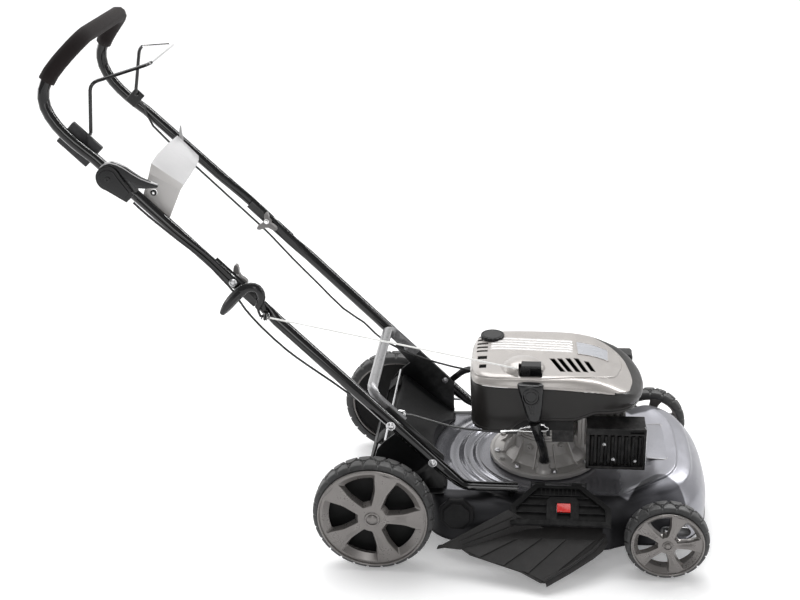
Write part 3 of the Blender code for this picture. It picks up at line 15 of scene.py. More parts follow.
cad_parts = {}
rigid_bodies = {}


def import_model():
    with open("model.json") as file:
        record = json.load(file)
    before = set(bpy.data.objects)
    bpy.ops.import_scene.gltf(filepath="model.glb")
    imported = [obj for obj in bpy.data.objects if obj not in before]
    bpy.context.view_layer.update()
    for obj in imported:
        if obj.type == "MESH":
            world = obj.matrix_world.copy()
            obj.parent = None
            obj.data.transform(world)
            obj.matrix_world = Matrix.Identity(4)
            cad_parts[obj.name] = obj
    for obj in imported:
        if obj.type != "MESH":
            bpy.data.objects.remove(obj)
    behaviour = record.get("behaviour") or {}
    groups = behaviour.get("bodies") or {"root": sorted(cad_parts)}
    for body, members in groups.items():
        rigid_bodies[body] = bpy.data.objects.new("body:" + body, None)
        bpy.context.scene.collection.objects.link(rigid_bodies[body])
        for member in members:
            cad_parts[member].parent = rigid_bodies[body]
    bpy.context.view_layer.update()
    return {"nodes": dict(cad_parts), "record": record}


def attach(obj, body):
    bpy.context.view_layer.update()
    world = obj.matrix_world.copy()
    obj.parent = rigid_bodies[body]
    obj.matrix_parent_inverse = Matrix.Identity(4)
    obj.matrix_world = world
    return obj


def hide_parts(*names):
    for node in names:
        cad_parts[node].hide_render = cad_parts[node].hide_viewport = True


for _o in list(bpy.data.objects):
    bpy.data.objects.remove(_o, do_unlink=True)

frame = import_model()
NODES = frame["nodes"]
SHIFT = Vector((-0.0410, 0.0345, 0.0))
COL = bpy.context.scene.collection


# ------------------------------------------------------------------ materials
def _ramp(nt, fac, stops):
    r = nt.nodes.new("ShaderNodeValToRGB")
    while len(r.color_ramp.elements) < len(stops):
        r.color_ramp.elements.new(0.5)
    for e, (p, c) in zip(r.color_ramp.elements, stops):
        e.position = p
        e.color = (*c, 1) if isinstance(c, tuple) else (c, c, c, 1)
    nt.links.new(fac, r.inputs[0])
    return r.outputs[0]


def _noise(nt, vec, scale, detail=3.0, rough=0.5, dist=0.0):
    n = nt.nodes.new("ShaderNodeTexNoise")
    n.inputs["Scale"].default_value = scale
    n.inputs["Detail"].default_value = detail
    n.inputs["Roughness"].default_value = rough
    n.inputs["Distortion"].default_value = dist
    nt.links.new(vec, n.inputs["Vector"])
    return n.outputs["Fac"]


def _mix(nt, fac, a, b):
    m = nt.nodes.new("ShaderNodeMix")
    m.data_type = "RGBA"
    for sock, val in ((m.inputs[0], fac), (m.inputs[6], a), (m.inputs[7], b)):
        if isinstance(val, bpy.types.NodeSocket):
            nt.links.new(val, sock)
        elif isinstance(val, tuple):
            sock.default_value = (*val, 1)
        else:
            sock.default_value = val
    return m.outputs[2]


def _math(nt, op, a, b=0.0, clamp=False):
    m = nt.nodes.new("ShaderNodeMath")
    m.operation = op
    m.use_clamp = clamp
    for sock, val in ((m.inputs[0], a), (m.inputs[1], b)):
        if isinstance(val, bpy.types.NodeSocket):
            nt.links.new(val, sock)
        else:
            sock.default_value = val
    return m.outputs[0]


def _bump(nt, height, strength, distance, normal=None):
    b = nt.nodes.new("ShaderNodeBump")
    b.inputs["Strength"].default_value = strength
    b.inputs["Distance"].default_value = distance
    nt.links.new(height, b.inputs["Height"])
    if normal is not None:
        nt.links.new(normal, b.inputs["Normal"])
    return b.outputs[0]


def surface(name, base, rough, metal=0.0, var=0.10, grain=0.0, gscale=900.0, rvar=0.08,
            smudge=0.06, dust_and_top_light=0.0, wear=0.0, wear_rgb=(0.3, 0.3, 0.3), coat=0.0, coat_rough=0.06,
            flake=0.0, spec=0.5, peel=0.0, sheen=0.0, stretch=None):
    """A painted, moulded or cast surface: colour drift, speckle, smudges, dust on up-facing faces (on the tyres also
    painted light on their tops), worn edges.
    """
    m = bpy.data.materials.new(name)
    m.use_nodes = True
    nt = m.node_tree
    b = nt.nodes["Principled BSDF"]
    tc = nt.nodes.new("ShaderNodeTexCoord")
    obj = tc.outputs["Object"]
    if stretch:
        mp = nt.nodes.new("ShaderNodeMapping")
        mp.inputs["Scale"].default_value = stretch
        nt.links.new(obj, mp.inputs["Vector"])
        fine_vec = mp.outputs[0]
    else:
        fine_vec = obj
    big = _noise(nt, obj, 7.0, 4.0)
    fine = _noise(nt, fine_vec, gscale * 0.35, 2.0)
    lo = tuple(c * (1 - var) for c in base)
    hi = tuple(min(1.0, c * (1 + var)) for c in base)
    col = _mix(nt, _ramp(nt, big, ((0.30, 0.0), (0.70, 1.0))), lo, hi)
    col = _mix(nt, _ramp(nt, fine, ((0.35, 0.0), (0.65, 0.35 * min(1.0, var * 4)))), col,
               tuple(min(1.0, c * (1 + 1.6 * var)) for c in base))
    if flake:
        v = nt.nodes.new("ShaderNodeTexVoronoi")
        v.inputs["Scale"].default_value = 2600.0
        nt.links.new(obj, v.inputs["Vector"])
        sep = nt.nodes.new("ShaderNodeSeparateColor")
        nt.links.new(v.outputs["Color"], sep.inputs[0])
        col = _mix(nt, _ramp(nt, sep.outputs[0], ((0.55, 0.0), (1.0, flake))), col,
                   tuple(min(1.0, c * 2.2 + 0.02) for c in base))
    r = _math(nt, "ADD", rough - rvar / 2, _math(nt, "MULTIPLY", fine, rvar))
    sm = _ramp(nt, _noise(nt, obj, 24.0, 5.0, 0.6, 0.8), ((0.46, 0.0), (0.62, 1.0)))
    r = _math(nt, "ADD", r, _math(nt, "MULTIPLY", sm, smudge), clamp=True)
    if wear:
        g = nt.nodes.new("ShaderNodeNewGeometry")
        edge = _ramp(nt, g.outputs["Pointiness"], ((0.53, 0.0), (0.60, 1.0)))
        brk = _ramp(nt, _noise(nt, obj, 60.0, 4.0, 0.7), ((0.40, 0.15), (0.65, 1.0)))
        k = _math(nt, "MULTIPLY", _math(nt, "MULTIPLY", edge, brk), wear)
        col = _mix(nt, k, col, wear_rgb)
        r = _math(nt, "ADD", r, _math(nt, "MULTIPLY", k, 0.12), clamp=True)
    # up-facing faces lighten towards pale grey: dust, and on the tyres also painted light on their tops
    if dust_and_top_light:
        sx = nt.nodes.new("ShaderNodeSeparateXYZ")
        nt.links.new(tc.outputs["Normal"], sx.inputs[0])
        up = _ramp(nt, sx.outputs["Z"], ((0.35, 0.0), (0.98, 1.0)))
        sp = _ramp(nt, _noise(nt, obj, 45.0, 6.0, 0.75), ((0.42, 0.0), (0.74, 1.0)))
        k = _math(nt, "MULTIPLY", _math(nt, "MULTIPLY", up, sp), dust_and_top_light)
        col = _mix(nt, k, col, (0.42, 0.40, 0.37))
        r = _math(nt, "ADD", r, _math(nt, "MULTIPLY", k, 0.5), clamp=True)
    nt.links.new(col, b.inputs["Base Color"])
    nt.links.new(r, b.inputs["Roughness"])
    b.inputs["Metallic"].default_value = metal
    b.inputs["Specular IOR Level"].default_value = spec
    b.inputs["Coat Weight"].default_value = coat
    b.inputs["Coat Roughness"].default_value = coat_rough
    if sheen:
        b.inputs["Sheen Weight"].default_value = sheen
        b.inputs["Sheen Roughness"].default_value = 0.5
    n = None
    if grain:
        n = _bump(nt, _noise(nt, fine_vec, gscale, 2.0), grain, 0.0004)
    if peel:
        n = _bump(nt, _noise(nt, obj, 130.0, 1.0), peel, 0.0006, n)
    if n is not None:
        nt.links.new(n, b.inputs["Normal"])
    m.diffuse_color = (*base, 1)
    return m


MAT = {
    "paint": surface("deck_paint", (0.140, 0.140, 0.155), 0.16, 0.80, 0.05, flake=0.3, coat=1.0,
                     coat_rough=0.03, dust_and_top_light=0.02, wear=0.25, wear_rgb=(0.25, 0.25, 0.26), peel=0.05),
    # painted light: a lighter, satin copy of the deck paint for the hood
    "paint_hood": surface("deck_paint_painted_light", (0.235, 0.236, 0.258), 0.34, 0.45, 0.05, flake=0.4, coat=0.35,
                          coat_rough=0.16, dust_and_top_light=0.02, wear=0.25, wear_rgb=(0.25, 0.25, 0.26), peel=0.04),
    # painted light and shade: a second console tone for the panel's side faces and lower part, set by how light falls
    # on them
    "console_ear": surface("console_lower", (0.50, 0.485, 0.475), 0.34, 0.0, 0.04, grain=0.08, coat=0.15),
    # painted shade: a near-black copy of the deck paint for the skirt's sides
    "paint_side": surface("deck_paint_painted_shade", (0.0105, 0.0105, 0.0120), 0.42, 0.20, 0.08, flake=0.3,
                          coat=0.09, coat_rough=0.20, dust_and_top_light=0.008, wear=0.25, wear_rgb=(0.10, 0.10, 0.11),
                          spec=0.18),
    "tube": surface("tube_paint", (0.0025, 0.0025, 0.0028), 0.09, 0.0, 0.2, wear=0.30,
                    wear_rgb=(0.05, 0.05, 0.05), peel=0.04, spec=0.5, rvar=0.04, smudge=0.03),
    "plate": surface("plate_paint", (0.0045, 0.0045, 0.005), 0.30, 0.0, 0.2, spec=0.35,
                     dust_and_top_light=0.01, wear=0.3, wear_rgb=(0.12, 0.12, 0.12)),
    "duct": surface("duct_moulding", (0.0050, 0.0050, 0.0054), 0.50, 0.0, 0.15, grain=0.22,
                    gscale=1400, dust_and_top_light=0.008, wear=0.3, wear_rgb=(0.04, 0.04, 0.04), spec=0.12),
    # painted reflection: light grey base standing for the reflection on the brace's black gloss paint
    "brace": surface("brace_painted_reflection", (0.215, 0.214, 0.218), 0.28, 0.35, 0.08, flake=0.15, coat=0.4, coat_rough=0.12),
    # painted highlight: a lighter copy of the cover silver for the raised strips
    "strip": surface("cover_strip_painted_highlight", (0.62, 0.605, 0.595), 0.26, 0.20, 0.02, coat=0.4, coat_rough=0.12),
    "plastic": surface("black_moulding", (0.0080, 0.0080, 0.0086), 0.42, 0.0, 0.15, grain=0.22,
                       gscale=1400, dust_and_top_light=0.012, wear=0.35, wear_rgb=(0.05, 0.05, 0.05), spec=0.30),
    "flap": surface("flap_moulding", (0.0058, 0.0058, 0.0060), 0.46, 0.0, 0.12, grain=0.25,
                    gscale=1300, dust_and_top_light=0.010, wear=0.35, wear_rgb=(0.05, 0.05, 0.05), spec=0.10),
    "plate_grey": surface("plain_plate", (0.42, 0.43, 0.46), 0.24, 0.1, 0.03, grain=0.03,
                          coat=0.4, coat_rough=0.12),
    "gloss_plastic": surface("gloss_moulding", (0.0045, 0.0045, 0.005), 0.16, 0.0, 0.15,
                             grain=0.05, dust_and_top_light=0.008, wear=0.3, wear_rgb=(0.05, 0.05, 0.05), spec=0.4),
    "chute": surface("chute_moulding", (0.0170, 0.0160, 0.0160), 0.44, 0.0, 0.12, grain=0.30,
                     gscale=1200, dust_and_top_light=0.02, wear=0.35, wear_rgb=(0.07, 0.07, 0.07), spec=0.25),
    "bracket": surface("bracket_moulding", (0.022, 0.022, 0.024), 0.48, 0.0, 0.12, grain=0.25,
                       gscale=1200, wear=0.3, wear_rgb=(0.08, 0.08, 0.08), spec=0.35),
    "foam": surface("foam", (0.0135, 0.0105, 0.0105), 0.95, 0.0, 0.22, grain=0.9, gscale=700,
                    rvar=0.02, smudge=0.0, spec=0.15, sheen=0.06),
    # the tyres' up-facing dust also stands in for light on their tops (painted light)
    "rubber": surface("tyre_rubber", (0.0220, 0.0220, 0.0224), 0.50, 0.0, 0.2, grain=0.25,
                      gscale=1000, dust_and_top_light=0.07, wear=0.6, wear_rgb=(0.11, 0.11, 0.11), spec=0.5, sheen=0.05),
    "rim": surface("wheel_silver", (0.172, 0.161, 0.154), 0.28, 0.50, 0.04, flake=0.12,
                   coat=0.3, coat_rough=0.15, dust_and_top_light=0.0, wear=0.0),
    "cover": surface("cover_silver", (0.330, 0.309, 0.293), 0.32, 0.35, 0.03, flake=0.35,
                     coat=0.5, coat_rough=0.10, dust_and_top_light=0.03, peel=0.03),
    "shroud": surface("shroud_charcoal", (0.0140, 0.0128, 0.0122), 0.34, 0.0, 0.06, grain=0.05,
                      coat=0.08, coat_rough=0.18, dust_and_top_light=0.008, spec=0.22),
    "cast": surface("cast_aluminium", (0.44, 0.425, 0.412), 0.44, 0.45, 0.12, grain=0.55,
                    gscale=420, dust_and_top_light=0.10, rvar=0.15, wear=0.3, wear_rgb=(0.6, 0.58, 0.56)),
    "steel": surface("zinc_steel", (0.58, 0.58, 0.59), 0.28, 1.0, 0.08, grain=0.05, rvar=0.14),
    "dark_steel": surface("plain_steel", (0.18, 0.18, 0.185), 0.36, 0.9, 0.15, grain=0.15,
                          dust_and_top_light=0.05, rvar=0.14),
    "chrome": surface("bright_rod", (0.80, 0.80, 0.80), 0.16, 1.0, 0.03, rvar=0.08),
    "console": surface("console_moulding", (0.475, 0.470, 0.475), 0.30, 0.0, 0.03, grain=0.06,
                       coat=0.2),
    "knob": surface("knob_moulding", (0.165, 0.158, 0.155), 0.30, 0.0, 0.10, grain=0.2),
    "rope": surface("rope", (0.83, 0.83, 0.81), 0.82, 0.0, 0.06, grain=0.8, gscale=1500,
                    stretch=(0.5, 1, 1)),
    "cable": surface("cable_sheath", (0.012, 0.012, 0.012), 0.36, 0.0, 0.15, grain=0.05),
    "red": surface("red_moulding", (0.62, 0.016, 0.012), 0.26, 0.0, 0.06, coat=0.4),
    "bulb": surface("red_bulb", (0.46, 0.02, 0.03), 0.34, 0.0, 0.06, spec=0.5),
    "exhaust": surface("exhaust_paint", (0.0035, 0.0035, 0.0035), 0.34, 0.0, 0.2, grain=0.12,
                       dust_and_top_light=0.006, spec=0.15, wear=0.5, wear_rgb=(0.12, 0.115, 0.115)),
    "dark": surface("dark_inside", (0.006, 0.006, 0.006), 0.7, 0.0, 0.1, spec=0.25),
}


# ------------------------------------------------------------------ building tools
def add(name, me):
    o = bpy.data.objects.new(name, me)
    COL.objects.link(o)
    return o


def finish_piece(o, body, mat, nodes=(), bevel=0.0, seg=2, angle=35, local=True):
    """Shade, give the material, move from the working frame, ride."""
    if local:
        o.data.transform(Matrix.Translation(SHIFT))
    o.data.materials.clear()
    for m in (mat if isinstance(mat, (list, tuple)) else [mat]):
        o.data.materials.append(MAT[m])
    o.data.shade_smooth()
    if bevel:
        b = o.modifiers.new("edges", "BEVEL")
        b.width = bevel
        b.segments = seg
        b.limit_method = "ANGLE"
        b.angle_limit = math.radians(angle)
        b.harden_normals = True
        b.use_clamp_overlap = True
    else:
        o.data.set_sharp_from_angle(angle=math.radians(angle))
    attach(o, body)
    if nodes:
        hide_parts(*nodes)
    return o


BODY = {n: b for b, ns in frame["record"]["behaviour"]["bodies"].items() for n in ns}


def skin(node, mat, bevel=0.0006, seg=2, angle=35, flat=0.6):
    """The CAD node's own shape with merged faces, softened edges and smooth normals."""
    bm = bmesh.new()
    bm.from_mesh(NODES[node].data)
    bmesh.ops.remove_doubles(bm, verts=bm.verts, dist=2e-6)
    bmesh.ops.dissolve_limit(bm, angle_limit=math.radians(flat), verts=bm.verts,
                             edges=bm.edges, use_dissolve_boundaries=False)
    me = bpy.data.meshes.new(node + "_skin")
    bm.to_mesh(me)
    bm.free()
    o = add(node + "_skin", me)
    return finish_piece(o, BODY[node], mat, (node,), bevel, seg, angle, local=False)


SKINS = {
    "deck": ("paint", 0.0), "rear_housing_cover": ("duct", 0.0012), "mulch_plug": ("duct", 0.001),
    "rear_door": ("duct", 0.0012), "rear_door_rod": ("steel", 0.0),
    "handle_bracket_right": ("plate", 0.0006), "handle_bracket_left": ("plate", 0.0006),
    "side_flap": ("plastic", 0.0012), "side_flap_rod": ("plate", 0.0), "latch_button": ("red", 0.0008),
    "discharge_chute": ("chute", 0.0007), "pivot_cover": ("duct", 0.0016),
    "rear_axle": ("dark_steel", 0.0004), "front_axle": ("dark_steel", 0.0004),
    "height_tie_rod": ("dark_steel", 0.0), "height_lever": ("plastic", 0.0006),
    "lower_handle_right": ("tube", 0.0), "lower_handle_left": ("tube", 0.0),
    "cross_brace": ("brace", 0.0), "upper_handle": ("tube", 0.0), "foam_grip": ("foam", 0.0),
    "pivot_bolt_right": ("steel", 0.0006), "pivot_bolt_left": ("steel", 0.0006),
    "star_knob_right": ("knob", 0.0016), "star_knob_left": ("knob", 0.0016),
    "bail": ("tube", 0.0), "bail_bracket_right": ("bracket", 0.0), "bail_bracket_left": ("gloss_plastic", 0.0),
    "control_housing": ("plastic", 0.0022), "throttle_lever": ("gloss_plastic", 0.0010),
    "console_panel": ("console", 0.0008),
    "throttle_cable_upper": ("cable", 0.0), "throttle_cable_lower": ("cable", 0.0),
    "brake_cable_upper": ("cable", 0.0), "brake_cable_lower": ("cable", 0.0),
    "rope_guide": ("dark", 0.0), "starter_rope": ("rope", 0.0), "starter_grip": ("gloss_plastic", 0.0),
    "top_cover": ("cover", 0.0008), "blower_housing": ("shroud", 0.0008), "fuel_cap": ("plastic", 0.0012),
    "crankcase": ("cast", 0.0010), "cylinder": ("cast", 0.0004), "muffler": ("exhaust", 0.0008),
    "air_filter_box": ("plastic", 0.0008), "primer_bulb": ("bulb", 0.0),
    "filler_tube": ("gloss_plastic", 0.0), "dipstick": ("gloss_plastic", 0.0014),
    "crankshaft": ("steel", 0.0006), "flywheel": ("cast", 0.0006), "blade": ("dark_steel", 0.0003),
    "blade_bolt": ("steel", 0.0006),
    "tyre_rear_right": ("rubber", 0.0), "tyre_rear_left": ("rubber", 0.0),
    "tyre_front_right": ("rubber", 0.0), "tyre_front_left": ("rubber", 0.0),
    "rim_rear_right": ("rim", 0.0008), "rim_rear_left": ("rim", 0.0008),
    "rim_front_right": ("rim", 0.0008), "rim_front_left": ("rim", 0.0008),
}
DONE = set()

# ------------------------------------------------------------------ shape tools
def mesh_of(name, verts, faces, recalc=True):
    me = bpy.data.meshes.new(name)
    me.from_pydata([tuple(v) for v in verts], [], faces)
    if recalc:
        bm = bmesh.new()
        bm.from_mesh(me)
        bmesh.ops.recalc_face_normals(bm, faces=bm.faces)
        bm.to_mesh(me)
        bm.free()
    return add(name, me)


def grid_faces(rows, cols, wrap_c=False, wrap_r=False, start=0):
    out = []
    for i in range(rows if wrap_r else rows - 1):
        for j in range(cols if wrap_c else cols - 1):
            a, b = i * cols + j, i * cols + (j + 1) % cols
            k = ((i + 1) % rows) * cols
            out.append((start + a, start + b, start + k + (j + 1) % cols, start + k + j))
    return out


def baked(o):
    """Apply a piece's modifiers."""
    bpy.context.view_layer.update()
    me = bpy.data.meshes.new_from_object(o.evaluated_get(bpy.context.evaluated_depsgraph_get()))
    old = o.data
    o.modifiers.clear()
    o.data = me
    bpy.data.meshes.remove(old)
    return o


def block(name, lo, hi):
    bm = bmesh.new()
    bmesh.ops.create_cube(bm, size=1.0)
    bmesh.ops.scale(bm, vec=[h - l for l, h in zip(lo, hi)], verts=bm.verts)
    bmesh.ops.translate(bm, vec=[(h + l) / 2 for l, h in zip(lo, hi)], verts=bm.verts)
    me = bpy.data.meshes.new(name)
    bm.to_mesh(me)
    bm.free()
    return add(name, me)


def rod(name, p, axis, prof, seg=24):
    """Turn (radius, height) points about axis through p; open ends on the axis close."""
    q = Vector((0, 0, 1)).rotation_difference(Vector(axis).normalized())
    p = Vector(p)
    verts, rows = [], []
    for r, h in prof:
        if r < 1e-7:
            rows.append([len(verts)])
            verts.append(p + q @ Vector((0, 0, h)))
        else:
            rows.append(list(range(len(verts), len(verts) + seg)))
            for i in range(seg):
                a = 2 * math.pi * i / seg
                verts.append(p + q @ Vector((r * math.cos(a), r * math.sin(a), h)))
    faces = []
    for a, b in zip(rows, rows[1:]):
        for i in range(seg):
            j = (i + 1) % seg
            if len(a) == 1 and len(b) == 1:
                continue
            if len(a) == 1:
                faces.append((a[0], b[j], b[i]))
            elif len(b) == 1:
                faces.append((a[i], a[j], b[0]))
            else:
                faces.append((a[i], a[j], b[j], b[i]))
    return mesh_of(name, verts, faces)


def pipe(name, pts, r, res=6, radii=None, cyclic=False):
    cu = bpy.data.curves.new(name, "CURVE")
    cu.dimensions = "3D"
    cu.bevel_depth = r
    cu.bevel_resolution = res
    cu.use_fill_caps = not cyclic
    sp = cu.splines.new("POLY")
    sp.points.add(len(pts) - 1)
    for i, p in enumerate(pts):
        sp.points[i].co = (*p, 1)
        if radii:
            sp.points[i].radius = radii[i]
    sp.use_cyclic_u = cyclic
    o = bpy.data.objects.new(name, cu)
    COL.objects.link(o)
    bpy.context.view_layer.update()
    me = bpy.data.meshes.new_from_object(o.evaluated_get(bpy.context.evaluated_depsgraph_get()))
    bpy.data.objects.remove(o)
    bpy.data.curves.remove(cu)
    bm = bmesh.new()
    bm.from_mesh(me)
    bmesh.ops.remove_doubles(bm, verts=bm.verts, dist=1e-6)
    bm.to_mesh(me)
    bm.free()
    return add(name, me)


def flat(name, outline, t, matrix, holes=(), bevel=0.0, seg=2):
    """A flat outline given thickness t about its plane, with rounded edges."""
    cu = bpy.data.curves.new(name, "CURVE")
    cu.dimensions = "2D"
    cu.fill_mode = "BOTH"
    cu.extrude = max(1e-5, t / 2 - bevel)
    cu.bevel_depth = bevel
    cu.bevel_resolution = seg
    cu.offset = -bevel
    for loop in (outline, *holes):
        sp = cu.splines.new("POLY")
        sp.points.add(len(loop) - 1)
        for i, p in enumerate(loop):
            sp.points[i].co = (p[0], p[1], 0, 1)
        sp.use_cyclic_u = True
    o = bpy.data.objects.new(name, cu)
    COL.objects.link(o)
    bpy.context.view_layer.update()
    me = bpy.data.meshes.new_from_object(o.evaluated_get(bpy.context.evaluated_depsgraph_get()))
    bpy.data.objects.remove(o)
    bpy.data.curves.remove(cu)
    me.transform(matrix)
    bm = bmesh.new()
    bm.from_mesh(me)
    bmesh.ops.remove_doubles(bm, verts=bm.verts, dist=1e-6)
    bmesh.ops.recalc_face_normals(bm, faces=bm.faces)
    bm.to_mesh(me)
    bm.free()
    return add(name, me)


def joined(name, objs):
    bm = bmesh.new()
    for o in objs:
        bm.from_mesh(o.data)
        me = o.data
        bpy.data.objects.remove(o)
        bpy.data.meshes.remove(me)
    me = bpy.data.meshes.new(name)
    bm.to_mesh(me)
    bm.free()
    return add(name, me)


def carve(o, *cutters):
    for c in cutters:
        m = o.modifiers.new("cut", "BOOLEAN")
        m.operation = "DIFFERENCE"
        m.solver = "MANIFOLD"
        m.object = c
        baked(o)
        me = c.data
        bpy.data.objects.remove(c)
        bpy.data.meshes.remove(me)
    return o


def sstep(a, b, x):
    t = min(1.0, max(0.0, (x - a) / (b - a)))
    return t * t * (3 - 2 * t)


def ramp(table, x):
    if x <= table[0][0]:
        return table[0][1]
    for (a, u), (b, v) in zip(table, table[1:]):
        if x <= b:
            return u + (v - u) * (x - a) / (b - a)
    return table[-1][1]


def closed_line(pts, n):
    m = len(pts)
    fine = []
    for i in range(m):
        a, b, c, d = (Vector((*pts[(i + k - 1) % m], 0)) for k in range(4))
        for k in range(16):
            t = k / 16
            fine.append(0.5 * (2 * b + (c - a) * t + (2 * a - 5 * b + 4 * c - d) * t * t
                               + (3 * b - a - 3 * c + d) * t ** 3))
    acc = [0.0]
    for i in range(len(fine)):
        acc.append(acc[-1] + (fine[(i + 1) % len(fine)] - fine[i]).length)
    out, j = [], 0
    for k in range(n):
        s = acc[-1] * k / n
        while acc[j + 1] < s:
            j += 1
        f = (s - acc[j]) / (acc[j + 1] - acc[j])
        p = fine[j].lerp(fine[(j + 1) % len(fine)], f)
        out.append((p.x, p.y))
    return out


FLAT = {
    "XZ": Matrix(((1, 0, 0, 0), (0, 0, -1, 0), (0, 1, 0, 0), (0, 0, 0, 1))),
    "XY": Matrix.Identity(4),
    "YZ": Matrix(((0, 0, 1, 0), (1, 0, 0, 0), (0, 1, 0, 0), (0, 0, 0, 1))),
}


def circle(c, r, n=16, phase=0.0):
    return [(c[0] + r * math.cos(phase + 2 * math.pi * i / n),
             c[1] + r * math.sin(phase + 2 * math.pi * i / n)) for i in range(n)]


